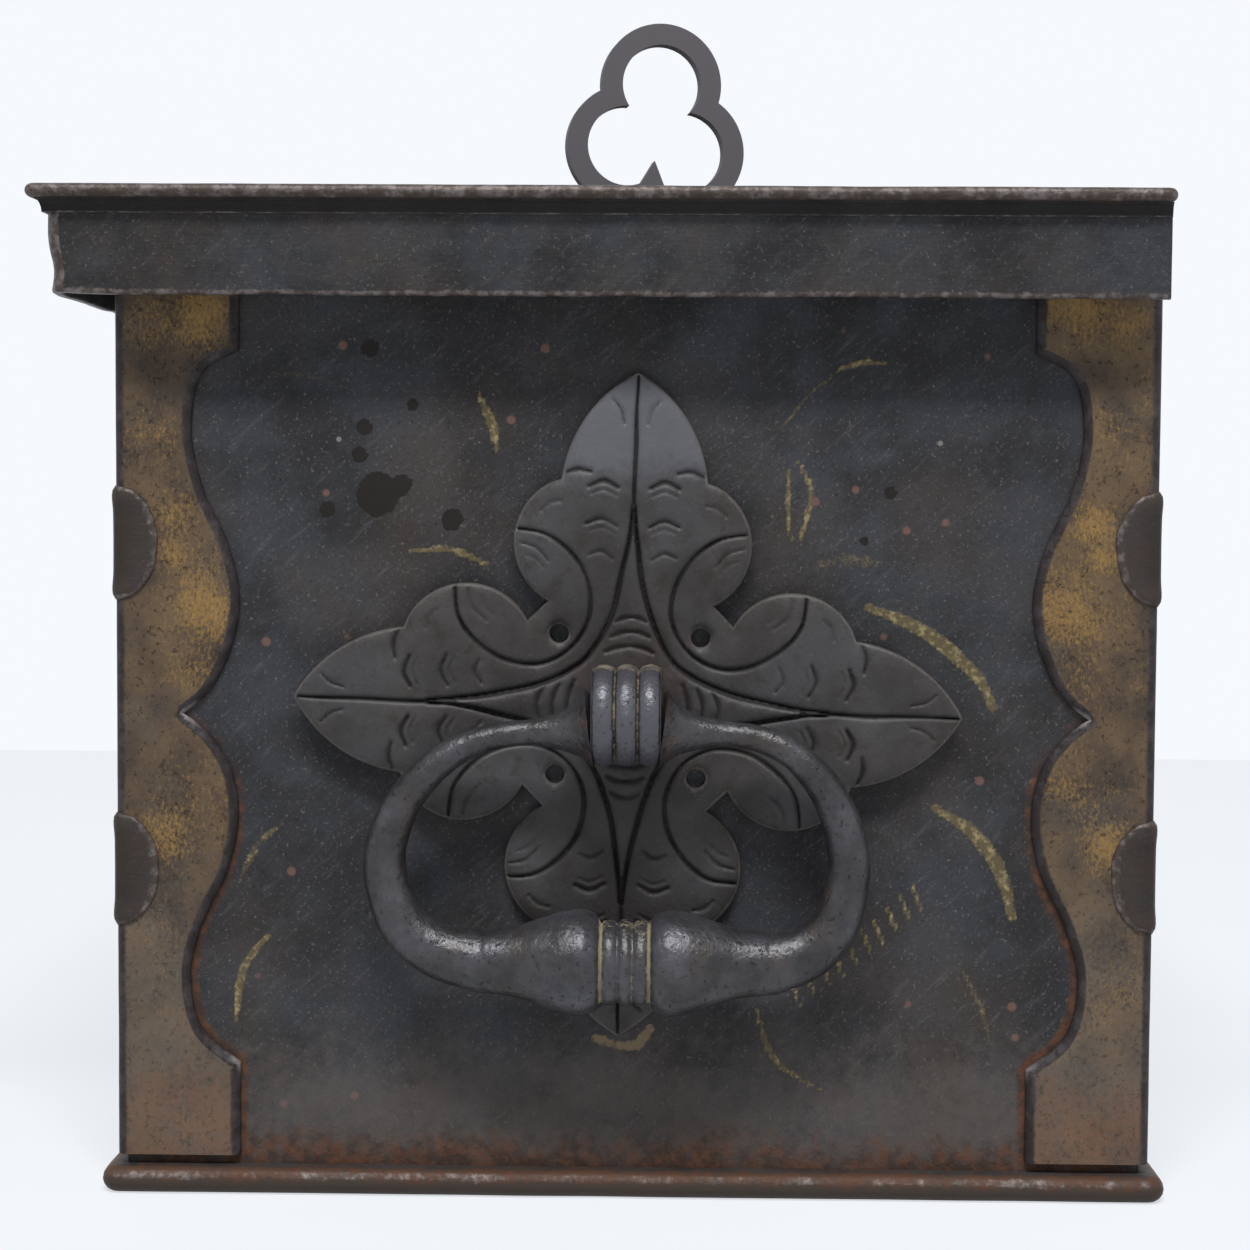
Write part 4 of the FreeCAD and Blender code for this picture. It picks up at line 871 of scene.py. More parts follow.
def wall_marks(flat, side, spread, foot):
    """Marks of one wall: gilding, etched drops, rust at the foot and beside the straps, a pale remnant."""
    on_end = side in ("left", "right")
    strap_low, strap_high = side_range("front_right_strap", "right")
    half = -strap_low[0] if on_end else strap_high[2]
    edge = strap_edge(strap_low[1], strap_high[1], 3.0)
    beside = np.minimum(distance_to(flat, edge * (-1, 1) + (half, 0.0))[0],
                        distance_to(flat, edge * (1, 1) - (half, 0.0))[0])
    creep = 0.85 * fade(beside, 3.2, 0.6) * fade(flat[:, 1], 190.0, 40.0)
    rust = np.maximum(0.85 * fade(flat[:, 1], foot + 27.0, foot + 1.0), creep)
    local = flat * (math.copysign(1.0, spread), 1.0)
    stain = np.zeros(len(flat))
    for across, up, radius in STAINS:
        gap = np.linalg.norm(local - (across, up), axis=1) / radius
        stain = np.maximum(stain, fade(gap, 1.45, 0.7))
    lime = np.zeros(len(flat))
    if on_end:
        lime = 0.8 * fade(distance_to(local, np.array(REMNANT))[0], REMNANT_HALF_WIDTH, 0.5)
    # The dust mark, paler towards the foot, stands for dust and for painted light that makes up for the
    # lamp's fall-off there
    return {"gilt": stroke_marks(flat * (spread, 1.0), on_end), "stain": stain, "rust": rust, "lime": lime,
            "dust": 0.8 * fade(flat[:, 1], foot + 52.0, foot + 18.0)}


def build_wall(node, side, spread):
    """One wall of the case, with a hammered face that carries the remains of its painting."""
    shape = bpy.context.scene.strongbox_shape
    low, high = side_range(node, side)
    counts = [round((high[axis] - low[axis]) * MM / shape.plate_grid) for axis in (0, 1)]
    across, up = np.meshgrid(np.linspace(low[0], high[0], counts[0] + 1),
                             np.linspace(low[1], high[1], counts[1] + 1))
    flat = np.column_stack((across.ravel(), up.ravel()))
    seed = 3.0 * list(WALLS).index(node)
    face = np.column_stack((flat, np.full(len(flat), seed)))
    dip = np.clip(0.5 + 0.45 * ripple(face, 40.0, seed) + 0.15 * ripple(face, 9.0, seed), 0.0, 1.0)
    row = counts[0] + 1
    faces = [(r * row + c, r * row + c + 1, (r + 1) * row + c + 1, (r + 1) * row + c)
             for r in range(counts[1]) for c in range(counts[0])]
    top = counts[1] * row
    rim = (list(range(row - 1)) + [r * row + row - 1 for r in range(counts[1])]
           + list(range(top + row - 1, top, -1)) + [r * row for r in range(counts[1], 0, -1)])
    first_back = len(flat)
    for i, corner in enumerate(rim):
        follow = (i + 1) % len(rim)
        faces.append((corner, first_back + i, first_back + follow, rim[follow]))
    faces.append(tuple(first_back + i for i in reversed(range(len(rim)))))
    dip[rim] = 0.0
    local = np.vstack((np.column_stack((flat, high[2] - shape.hammer_depth / MM * dip)),
                       np.column_stack((flat[rim], np.full(len(rim), low[2])))))
    marks = {name: np.concatenate((values, values[rim] * 0.3))
             for name, values in wall_marks(flat, side, spread, low[1]).items()}
    make_piece(node.replace("wall", "plate"), on_side(side, local), faces, painted_plate(), "case",
               [node], marks, crease=40)


# Leaf plates

LEAF_TURN = math.radians(-1.5)
# One half lobe, along the lobe and across it: cut edge from the tip to the fork beside the next lobe
LEAF_TIP = (73.7, 0.0)
LEAF_TIP_BULGE = (63.1, 11.4)
LEAF_NOTCH_OUT = (49.7, 16.1)
LEAF_NOTCH_IN = (48.8, 18.5)
LEAF_LOBE_BULGE = (35.2, 26.2)
LEAF_FORK = (22.7, 18.3)
LEAF_HOLE = 15.6
LEAF_HOLE_RADIUS = 2.1
# Chased lines of a half lobe: depth and width as shares of the full groove, then points along and across
MIDRIB = [(73.0, 0.0), (38.0, 0.0)]
STEM = [(44.0, 0.2), (38.0, 0.7), (30.5, 1.9), (21.0, 4.1), (13.6, 7.3), (9.9, 9.9), (7.3, 13.6)]
CURL = [(38.9, 26.6), (37.6, 18.9), (32.4, 12.6), (26.4, 9.4), (20.0, 9.0), (15.2, 10.8), (12.7, 12.7),
        (10.8, 15.2)]
LEAF_LINES = [
    (0.9, 0.95, MIDRIB), (1.0, 1.15, STEM), (0.9, 1.0, CURL),
    (0.7, 1.2, [(51.0, 15.6), (52.1, 12.6), (51.6, 9.4)]),
    (0.55, 0.8, [(67.4, 5.2), (65.4, 3.4), (62.3, 2.5)]),
    (0.75, 1.3, [(48.0, 3.4), (49.6, 6.6), (48.4, 9.8)]), (0.4, 0.7, [(46.3, 3.8), (47.6, 6.6), (46.7, 9.2)]),
    (0.65, 1.1, [(39.6, 3.6), (41.2, 6.8), (40.0, 10.2)]),
    (0.35, 0.7, [(38.0, 4.2), (39.3, 6.8), (38.4, 9.4)]),
    (0.55, 1.0, [(32.3, 4.4), (33.9, 6.8), (33.0, 9.4)]),
    (0.5, 0.8, [(35.6, 24.6), (34.6, 21.0), (31.6, 18.2)]),
    (0.35, 0.7, [(32.8, 23.2), (32.0, 21.0), (30.2, 19.4)]),
    (0.45, 0.9, [(42.6, 20.4), (44.4, 18.6), (44.9, 16.0)]),
    (0.6, 1.1, [(20.0, 0.0), (19.7, 1.6), (18.9, 3.4)]), (0.6, 1.1, [(16.6, 0.0), (16.3, 2.0), (15.4, 4.2)]),
    (0.6, 1.1, [(13.3, 0.0), (13.0, 2.4), (12.0, 5.2)]),
]
LEAF_RIM = [(0.25, 0.0), (0.0, 0.35), (0.0, 1.55), (0.3, 1.9)]
LEAF_GRID = 1.3
LEAF_FINE_GRID = 0.42
LEAF_FINE_REACH = 1.3


def leaf_outline():
    """Cut edge of the whole leaf, anticlockwise: four lobes, each two mirrored halves."""
    outer = arc_through(LEAF_TIP, LEAF_TIP_BULGE, LEAF_NOTCH_OUT, 1.2)
    inner = arc_through(LEAF_NOTCH_IN, LEAF_LOBE_BULGE, LEAF_FORK, 1.2)
    half = np.vstack((outer, inner))
    mirrored = half[:0:-1] * (1.0, -1.0)
    lobe = np.vstack((mirrored, half))
    turns = [complex(0, 1) ** quarter for quarter in range(4)]
    swept = np.concatenate([(lobe[:, 0] + 1j * lobe[:, 1]) * turn for turn in turns])
    return np.column_stack((swept.real, swept.imag))


def leaf_holes():
    """The four nail holes, run clockwise."""
    angles = -np.linspace(0.0, 2 * math.pi, 20, endpoint=False)
    ring = LEAF_HOLE_RADIUS * np.column_stack((np.cos(angles), np.sin(angles)))
    return [ring + (x, y) for x in (LEAF_HOLE, -LEAF_HOLE) for y in (LEAF_HOLE, -LEAF_HOLE)]


def folded(flat):
    """Points of the leaf folded onto one half lobe: along it and across it."""
    size = np.abs(flat)
    return np.column_stack((size.max(axis=1), size.min(axis=1)))


def chased_gap(flat):
    """Distance of each point of the leaf from the nearest chased line."""
    half = folded(flat)
    return np.min([distance_to(half, through(points, 2.0))[0] for _, _, points in LEAF_LINES], axis=0)


def leaf_cuts(flat, width):
    """How deep the chased lines run at each point of the leaf, 0 to 1."""
    wander = np.column_stack((flat, np.zeros(len(flat))))
    hand = flat + 0.45 * np.column_stack((ripple(wander, 11.0, 1.0), ripple(wander, 11.0, 5.0)))
    half = folded(hand)
    strength = 1.2 + 0.3 * ripple(wander, 7.0, 3.0)
    cuts = np.zeros(len(flat))
    for depth, wide, points in LEAF_LINES:
        gap, along = distance_to(half, through(points, 1.2))
        taper = 0.5 + 0.5 * np.sin(math.pi * np.clip(along, 0.12, 0.88))
        cuts = np.maximum(cuts, depth * strength * np.exp(-(gap / (wide * width * taper)) ** 2))
    return cuts


def stem_rise(flat):
    """How far the cross-shaped stem stands up between its bounding lines, 0 to 1."""
    along, across = folded(flat).T
    line = through(STEM[:6], 0.5)[::-1]
    half = np.interp(along, line[:, 0], line[:, 1], left=STEM[5][1], right=0.0)
    return np.where(half > 0.05, np.clip(1 - (across / np.maximum(half, 0.05)) ** 2, 0.0, 1.0), 0.0) ** 0.6


def lobe_lift(flat):
    """How far the lobes stand off the wall, 0 to 1: most at the sides and not at all behind the grip."""
    reach = np.linalg.norm(flat, axis=1)
    upward = np.clip(flat[:, 1] / np.maximum(reach, 1e-6), -1.0, 1.0)
    droop = fade(upward, 0.4, 0.8) * (0.35 + 0.65 * fade(reach, 40.0, 74.0))
    return fade(reach, 18.0, 46.0) * fade(upward, -0.86, -0.5) * (1 - droop)


def leaf_sheet(loops):
    """The flat leaf, with a fine mesh along its chased lines and rim and a coarse one between them."""
    rim = closed(loops[0])
    inner = [inset(loop, LEAF_RIM[-1][0]) for loop in loops]
    fine = fill_points(inner, LEAF_FINE_GRID, 0.3)
    near = (chased_gap(fine) < LEAF_FINE_REACH) | (distance_to(fine, rim)[0] < 0.9)
    coarse = fill_points(inner, LEAF_GRID, 0.7)
    far = np.minimum(chased_gap(coarse), distance_to(coarse, rim)[0] + 0.4) > LEAF_FINE_REACH + 0.2
    return sheet(loops, LEAF_RIM, LEAF_GRID, np.vstack((fine[near], coarse[far])))


def build_leaf(node, side):
    """One chased leaf plate behind a handle."""
    shape = bpy.context.scene.strongbox_shape
    outline, holes = leaf_outline(), leaf_holes()
    points, faces = leaf_sheet([outline] + holes)
    flat = points[:, :2]
    gap = distance_to(flat, closed(outline))[0]
    for hole in holes:
        gap = np.minimum(gap, 1.5 * distance_to(flat, closed(hole))[0])
    on_face = points[:, 2] > LEAF_RIM[-1][1] - 0.01
    cuts = leaf_cuts(flat, shape.groove_width / MM) * on_face * fade(gap, 0.0, 0.8)
    reach = np.linalg.norm(flat, axis=1)
    along, across = folded(flat).T
    swell = shape.leaf_dome / MM * (1 - np.exp(-gap / 5.0)) * fade(reach, 10.0, 26.0)
    valley = 0.45 * np.exp(-(across / 3.2) ** 2) * fade(along, 30.0, 44.0) * (1 - np.exp(-gap / 3.0))
    rise = 0.5 * (1 - np.exp(-gap / 0.6)) + swell - valley + 0.75 * stem_rise(flat)
    uneven = 0.12 * ripple(points, 8.0, 4.0) * fade(gap, 0.0, 2.0)
    points[:, 2] += on_face * (rise + uneven - shape.groove_depth / MM * cuts)
    points[:, 2] += shape.leaf_lift / MM * lobe_lift(flat)
    low, high = side_range(node, side)
    middle = (low[:2] + high[:2]) / 2
    turned = (flat[:, 0] + 1j * flat[:, 1]) * complex(math.cos(LEAF_TURN), math.sin(LEAF_TURN))
    local = np.column_stack((turned.real + middle[0], turned.imag + middle[1], low[2] + points[:, 2]))
    # The upper lobe carries a painted highlight
    marks = {"groove": cuts, "painted_highlight": fade(flat[:, 1], 38.0, 60.0),
             "edge": fade(gap, 1.3, 0.1) * (points[:, 2] > 0.6),
             "rust": 0.5 * fade(reach, 26.0, 12.0) + 0.35 * fade(gap, 2.0, 0.4)}
    make_piece(node.replace("leaf_plate", "chased_leaf"), on_side(side, local), faces, chased_leaf(), "case",
               [node], marks, crease=55)


# Staples and drop handles

STAPLE_WIDTH = 15.0
STAPLE_INNER = 7.2
STAPLE_THICK = 3.4
STAPLE_RIDGES = 3
STAPLE_CLENCH = 13.0


def staple_section():
    """Across a staple: places across and levels over its inner face, with three rounded ridges outside."""
    half = STAPLE_WIDTH / 2
    outer = []
    for place in np.linspace(-1.0, 1.0, 49):
        share = (place + 1) / 2 * STAPLE_RIDGES
        swell = abs(math.sin(math.pi * share))
        edge = fade(1 - abs(place), 0.0, 0.05)
        outer.append((place * half, STAPLE_THICK - 1.35 * (1 - swell ** 0.55) * edge - 0.5 * (1 - edge)))
    inner = [(half - 0.2, 0.15), (half - 0.6, 0.0), (-half + 0.6, 0.0), (-half + 0.2, 0.15)]
    return outer, inner


def build_staple(node, side):
    """One reeded staple: a band bent over the handle's pin, with its ends clenched inside the wall."""
    low, high = side_range(node, side)
    middle = (low[0] + high[0]) / 2
    level = (low[1] + high[1]) / 2
    centre = high[2] - STAPLE_INNER - STAPLE_THICK
    back = low[2]
    tail = STAPLE_INNER + STAPLE_THICK + STAPLE_CLENCH
    path = [(back, tail, (1.0, 0.0)), (back, STAPLE_INNER + 1.0, (1.0, 0.3)),
            (back + 0.6, STAPLE_INNER, (0.8, 1.0))]
    path += [(out, STAPLE_INNER, (0.0, 1.0)) for out in np.linspace(back + 5.0, centre, 8)]
    for turn in np.linspace(math.pi / 2, -math.pi / 2, 33)[1:-1]:
        path.append((centre + STAPLE_INNER * math.cos(turn), STAPLE_INNER * math.sin(turn),
                     (math.cos(turn), math.sin(turn))))
    path += [(out, -up, (nx, -ny)) for out, up, (nx, ny) in reversed(path[:11])]
    outer, inner = staple_section()
    rings, lime, edge, rust = [], [], [], []
    for out, up, (nx, ny) in path:
        ring = [(middle + a, level + up + ny * h, out + nx * h) for a, h in outer + inner]
        rings.append(np.array(ring))
        hollow = np.array([fade(STAPLE_THICK - h, 0.45, 1.05) for _, h in outer] + [0.0] * len(inner))
        flank = np.array([abs(a) < STAPLE_WIDTH / 2 - 1.0 for a, _ in outer] + [False] * len(inner))
        dusty = 0.5 * fade(up + ny * STAPLE_THICK, 8.6, 10.2) * fade(out, centre + 4.0, centre)
        lime.append(np.maximum(hollow * flank * 0.6, dusty))
        edge.append(np.where(hollow < 0.2, 0.9, 0.0))
        rust.append(np.full(len(ring), 0.5 * fade(out, centre, centre - 6.0)))
    points, faces = loft(rings)
    points += 0.12 * np.column_stack([ripple(points, 5.0, s) for s in (1.0, 2.0, 3.0)])
    make_piece(node.replace("staple", "reeded_staple"), on_side(side, points), faces, forged_handle(), "case",
               [node], {"lime": np.concatenate(lime), "edge": np.concatenate(edge),
                                       "rust": np.concatenate(rust)}, crease=60)


SWEEP_INPUTS = {"Path": "Geometry", "Sides": "Int", "Swell": "Float", "Finish": "Material"}
# Arm of a handle: across from the middle, below the pin, and radius
ARM = [(8.0, 0.0, 8.6), (9.6, -0.2, 6.9), (13.0, -0.6, 4.7), (19.2, -0.9, 3.1), (27.6, -1.8, 2.9),
       (36.1, -4.9, 3.2), (43.8, -10.7, 3.7), (49.5, -18.7, 4.2), (52.2, -27.9, 4.6), (51.2, -36.4, 4.9),
       (47.6, -43.7, 5.4), (40.7, -48.7, 6.0), (31.5, -51.0, 6.8)]
ARM_STRETCH = {-1: 1.0, 1: 0.81}
GRIP_DROP = ARM[-1][1]
# Baluster grip: half length from the middle against radius
GRIP = [(31.5, 6.8), (23.8, 7.8), (17.7, 9.8), (12.3, 11.3), (9.0, 11.5), (6.6, 10.6)]
COLLAR = [(5.7, 9.6), (5.3, 8.6), (5.0, 8.5), (4.7, 9.1), (3.6, 9.2), (2.4, 9.2), (1.9, 8.7), (1.5, 8.65),
          (1.0, 9.3), (0.4, 9.5)]
PIN = [(0.0, 0.0, 4.5), (3.5, 0.0, 4.5), (7.2, 0.0, 4.5), (7.9, 0.0, 5.0), (8.0, 0.0, 7.6)]
HANDLE_SIDES = 44


def handle_half(sign):
    """Centres and radii of half a handle, from the middle of its pin to the middle of its grip."""
    grip_start = ARM[-1][0]
    arm = []
    for across, drop, radius in ARM:
        past = across - grip_start
        arm.append((across if past <= 0 else grip_start + past * ARM_STRETCH[sign], drop, radius))
    bulb = through(GRIP, 0.8)
    grip = np.vstack((bulb[1:], COLLAR))
    grip = np.column_stack((grip[:, 0], np.full(len(grip), GRIP_DROP), grip[:, 1]))
    rows = np.vstack((PIN, through(arm, 1.0), grip))
    return rows * (sign, 1.0, 1.0)


def node_group(name, inputs, links_of):
    """A geometry node group, made once, from inputs by name and kind and from links up to its ending."""
    tree = bpy.data.node_groups.get(name)
    if tree:
        return tree
    tree = bpy.data.node_groups.new(name, "GeometryNodeTree")
    for label, kind in inputs.items():
        tree.interface.new_socket(label, in_out="INPUT", socket_type="NodeSocket" + kind)
    tree.interface.new_socket("Forging", in_out="OUTPUT", socket_type="NodeSocketGeometry")
    add = tree.nodes.new
    given, result = add("NodeGroupInput"), add("NodeGroupOutput")
    real, wear = add("GeometryNodeRealizeInstances"), add("GeometryNodeSetMaterial")
    ending = [((real, 0), (wear, "Geometry")), ((given, "Finish"), (wear, "Material")),
              ((wear, 0), (result, 0))]
    for (source, output), (target, entry) in links_of(add, given, real) + ending:
        tree.links.new(source.outputs[output], target.inputs[entry])
    return tree


def sweep_links(add, given, real):
    """Sweeps a round section along a curve, as thick as the curve's radius says."""
    section, sweep = add("GeometryNodeCurvePrimitiveCircle"), add("GeometryNodeCurveToMesh")
    radius, swell = add("GeometryNodeInputRadius"), add("ShaderNodeMath")
    swell.operation = "MULTIPLY"
    return [((given, "Sides"), (section, "Resolution")), ((given, "Path"), (sweep, "Curve")),
            ((section, "Curve"), (sweep, "Profile Curve")), ((radius, 0), (swell, 0)),
            ((given, "Swell"), (swell, 1)), ((swell, 0), (sweep, "Scale")), ((sweep, "Mesh"), (real, 0))]


def grown_mesh(name, source, tree, inputs):
    """The plain mesh that a node tree grows on an object's data, with the inputs set by name."""
    grower = place_object(name + "_grower", source)
    modifier = grower.modifiers.new("grow", "NODES")
    modifier.node_group = tree
    sockets = {item.name: item.identifier for item in tree.interface.items_tree if item.in_out == "INPUT"}
    for key, value in inputs.items():
        modifier[sockets[key]] = value
    graph = bpy.context.evaluated_depsgraph_get()
    graph.update()
    mesh = bpy.data.meshes.new_from_object(grower.evaluated_get(graph), depsgraph=graph)
    mesh.name = name
    grower.modifiers.clear()
    bpy.data.objects.remove(grower)
    return mesh


def build_handle(node, side):
    """One drop handle: pin, arms and baluster grip, swept along a closed path and left with forging marks."""
    shape = bpy.context.scene.strongbox_shape
    staple_low, staple_high = side_range(node.replace("drop_handle", "handle_staple"), side)
    low, high = side_range(node, side)
    middle = (staple_low[0] + staple_high[0]) / 2
    pin_level = low[1] + GRIP[4][1] - GRIP_DROP
    pin_out = (low[2] + high[2]) / 2
    loop = np.vstack((handle_half(1), handle_half(-1)[:0:-1]))
    curve = bpy.data.curves.new(node + "_path", "CURVE")
    curve.dimensions = "3D"
    spline = curve.splines.new("POLY")
    spline.points.add(len(loop) - 1)
    spline.use_cyclic_u = True
    local = np.column_stack((middle + loop[:, 0], pin_level + loop[:, 1], np.full(len(loop), pin_out)))
    for point, centre, radius in zip(spline.points, on_side(side, local) * MM, loop[:, 2] * MM):
        point.co = (*centre, 1.0)
        point.radius = radius
    name = node.replace("drop_handle", "forged_handle")
    tree = node_group("forged_sweep", SWEEP_INPUTS, sweep_links)
    mesh = grown_mesh(name, curve, tree, {"Sides": HANDLE_SIDES, "Swell": 1.0, "Finish": forged_handle()})
    points = np.empty(len(mesh.vertices) * 3)
    mesh.vertices.foreach_get("co", points)
    points = points.reshape(-1, 3) / MM
    normals = np.array([vertex.normal for vertex in mesh.vertices])
    across = points @ SIDES[side][0] - middle
    drop = points[:, 2] - pin_level
    on_grip = fade(drop, GRIP_DROP + 14.0, GRIP_DROP + 11.0)
    collar = on_grip * fade(np.abs(across), 6.4, 5.4)
    rough = 0.6 * ripple(points, 6.0, 1.0) + 0.4 * ripple(points, 2.2, 2.0)
    free = np.maximum(on_grip, fade(np.abs(across), 8.5, 11.0))
    dent = shape.forge_depth / MM * (rough - 0.35) * free * (1 - 0.6 * collar)
    points += normals * np.minimum(dent, 0.1)[:, None]
    mesh.vertices.foreach_set("co", (points * MM).ravel())
    grooves = np.maximum(0.8 * fade(np.abs(np.abs(across) - 5.2), 0.8, 0.2),
                         0.5 * fade(np.abs(across - 1.6), 0.6, 0.15))
    lime = collar * np.maximum(grooves, 0.45 * fade(drop, GRIP_DROP + 2.0, GRIP_DROP + 9.0))
    boss = (1 - on_grip) * fade(np.abs(across), 17.0, 9.0)
    rust = np.maximum(0.5 * boss, 0.45 * collar * fade(drop, GRIP_DROP - 1.0, GRIP_DROP - 7.0))
    worn = ripple(points, 9.0, 6.0) * 0.25 + 0.42
    polish = on_grip * fade(np.abs(across), 30.0, 12.0) * 0.1 + worn
    place_mesh(name, mesh, forged_handle(), node.replace("drop_handle", "handle"), [node],
               {"lime": lime, "rust": rust, "edge": polish}, crease=60)


# Base, lid and mouldings

BASE_THICK = 6.0
BASE_NOSE = 2.9
BASE_GRID = 6.0
LID_THICK = 3.0
LID_NOSE = 1.45
LID_GRID = 4.0
COIN_SLOT = (60.0, 6.0)
COIN_SLOT_Y = 68.0
KEYHOLE_RADIUS = 4.6
SKIRT_THICK = 2.4
SKIRT_BEND = 3.5
# Section of a cove: out from the face of the skirt and up from the foot of the strip, as shares of its box
COVE_SECTION = [(-0.1, 0.0), (0.27, 0.0), (0.3, 0.2), (0.36, 0.42), (0.5, 0.66), (0.72, 0.86), (1.0, 0.94),
                (1.0, 1.0), (-0.1, 1.0)]


def rectangle(low, high, corner, step):
    """A rectangle with rounded corners, anticlockwise, its sides divided into steps."""
    loop = []
    left, right = low[0] + corner, high[0] - corner
    near, far = low[1] + corner, high[1] - corner
    for centre, start in (((right, near), -90), ((right, far), 0), ((left, far), 90), ((left, near), 180)):
        angles = np.radians(np.linspace(start, start + 90, 6))
        loop.append(np.array(centre) + corner * np.column_stack((np.cos(angles), np.sin(angles))))
    points = []
    for arc, following in zip(loop, loop[1:] + loop[:1]):
        count = max(2, round(np.linalg.norm(following[0] - arc[-1]) / step) + 1)
        points += [arc, np.linspace(arc[-1], following[0], count)[1:-1]]
    return np.concatenate(points)


def forged_plate(name, node, body, rim, holes, spacing, marks_of):
    """A level plate with a forged, slightly wandering edge."""
    shape = bpy.context.scene.strongbox_shape
    low, high = box_range(node)
    outline = rectangle(low[:2], high[:2], max(row[0] for row in rim) + 1.2, 3.0)
    waves = 0.5 + 0.5 * ripple(np.column_stack((outline, np.zeros(len(outline)))), 17.0, low[2])
    outline = outline + (inset(outline, 1.0) - outline) * (shape.edge_wave / MM * waves)[:, None]
    points, faces = sheet([outline] + holes, rim, spacing)
    gap = distance_to(points[:, :2], closed(outline))[0]
    thick = high[2] - low[2]
    flat = points * (1.0, 1.0, 0.0)
    lift = ripple(flat, 26.0, 1.0) * 0.5 + ripple(flat, 8.0, 2.0) * 0.3
    upper = fade(points[:, 2], 0.15 * thick, 0.7 * thick)
    points[:, 2] -= upper * np.abs(lift) * shape.hammer_depth / MM
    marks = marks_of(points, gap, points[:, 2] / thick)
    points[:, 2] += low[2]
    make_piece(name, points, faces, worn_plate(), body, [node], marks, crease=50)


def base_marks(points, gap, height):
    """Wear of the base: a rubbed nose, rust on its upper face and brown all round."""
    nose = fade(gap, 3.0, 0.6)
    # Rubbed nose, with a painted highlight: a bright band along the upper curve of the nose
    rub_and_painted_highlight = nose * (0.1 + 0.5 * fade(height, 0.5, 0.7) * fade(height, 1.0, 0.8))
    return {"edge": rub_and_painted_highlight + 0.25 * nose * ripple(points, 9.0, 3.0), "brown": 0.9 * nose + 0.3,
            "rust": 0.35 * nose + 0.5 * fade(height, 0.3, 0.9) * fade(gap, 14.0, 3.0)}


def lid_marks(points, gap, height):
    """Wear of the lid: a bright nosing and a darker, mottled top."""
    nose = fade(gap, 2.2, 0.4)
    return {"edge": nose * (0.6 + 0.4 * fade(height, 0.3, 0.9)) + 0.15 * ripple(points, 12.0, 2.0),
            "brown": 0.55 * nose + 0.15, "rust": 0.3 + 0.3 * ripple(points, 30.0, 6.0)}


def lid_holes():
    """Coin slot and keyhole of the lid, run clockwise."""
    half = np.array(COIN_SLOT) / 2
    slot = rectangle(-half, half, half[1] * 0.98, 3.0)[::-1] + (0.0, COIN_SLOT_Y)
    key_low, key_high = box_range("lock_driver")
    angles = -np.linspace(0.0, 2 * math.pi, 32, endpoint=False)
    keyhole = KEYHOLE_RADIUS * np.column_stack((np.cos(angles), np.sin(angles)))
    return [slot, keyhole + (key_low + key_high)[:2] / 2]


def skirt_bend(centre_x, centre_y, start):
    """Places and normals round one bend of the skirt, from a starting angle in degrees."""
    normals = [(math.cos(turn), math.sin(turn)) for turn in np.radians(np.linspace(start, start + 90, 9))]
    return [((centre_x + SKIRT_BEND * nx, centre_y + SKIRT_BEND * ny), (nx, ny)) for nx, ny in normals]


def skirt_path(low, high):
    """Places and normals of the skirt's outer face, from the rear left round the front to the rear right."""
    left, right, front, rear = low[0], high[0], low[1], high[1]
    near_left, near_right, near_front = left + SKIRT_BEND, right - SKIRT_BEND, front + SKIRT_BEND
    path = [((left, y), (-1.0, 0.0)) for y in np.linspace(rear, near_front, 60)[:-1]]
    path += skirt_bend(near_left, near_front, 180)
    path += [((x, front), (0.0, -1.0)) for x in np.linspace(near_left, near_right, 90)[1:-1]]
    path += skirt_bend(near_right, near_front, 270)
    path += [((right, y), (1.0, 0.0)) for y in np.linspace(near_front, rear, 60)[1:]]
    return path


def build_skirt():
    """The skirt of the lid: a hammered band bent round the front corners, rubbed along its lower edge."""
    shape = bpy.context.scene.strongbox_shape
    hammer, wander = shape.hammer_depth / MM, shape.edge_wave / MM * 0.8
    low, high = box_range("lid_skirt")
    foot, head = low[2], box_range("lid_plate")[0][2]
    climb = np.linspace(0.0, 1.0, 12)
    section = ([(-0.7, foot, 1.0), (-0.2, foot + 0.15, 1.0), (0.0, foot + 0.6, 0.9)]
               + [(0.0, foot + 1.4 + c * (head - foot - 2.2), 0.35 if c == 0 else 0.0) for c in climb]
               + [(-0.25, head - 0.1, 0.4), (-SKIRT_THICK, head - 0.1, 0.0), (-SKIRT_THICK, foot + 0.4, 0.2),
                  (-SKIRT_THICK + 0.4, foot, 0.7)])
    rings, edge, brown = [], [], []
    for (x, y), (nx, ny) in skirt_path(low, high):
        wave = wander * abs(waver(x / 28.0, y / 28.0, 4.0) + 0.5 * waver(x / 9.0, y / 9.0, 9.0))
        ring = []
        for out, z, _ in section:
            dip = waver(x / 30.0, y / 30.0, z / 18.0) + 0.4 * waver(x / 8.0, y / 8.0, z / 8.0)
            out -= abs(dip) * hammer
            ring.append((x + nx * out, y + ny * out, z + fade(z, foot + 8.0, foot) * wave))
        rings.append(np.array(ring))
        bent = 0.95 if abs(nx * ny) > 0.02 else 0.0
        edge.append([max(worn, bent) for _, _, worn in section])
        brown.append([0.05 + 0.35 * waver(x / 25.0, y / 25.0, 0.0)] * len(section))
    points, faces = loft(rings)
    dented = np.array((high[0], low[1], foot + 4.0))
    bump = np.exp(-(np.linalg.norm((points - dented) / (7.0, 7.0, 5.0), axis=1)) ** 2)
    points += bump[:, None] * np.array((-1.1, 1.3, 0.9))
    marks = {"edge": np.concatenate(edge), "brown": np.concatenate(brown), "rust": np.full(len(points), 0.12)}
    make_piece("hammered_lid_skirt", points, faces, worn_plate(), "lid", ["lid_skirt"], marks,
               crease=50)


# Coves, the side that each is on, and whether its start and its end are mitred
COVES = {"front_cove": ("front", True, True), "right_cove": ("right", True, False),
         "left_cove": ("left", False, True)}


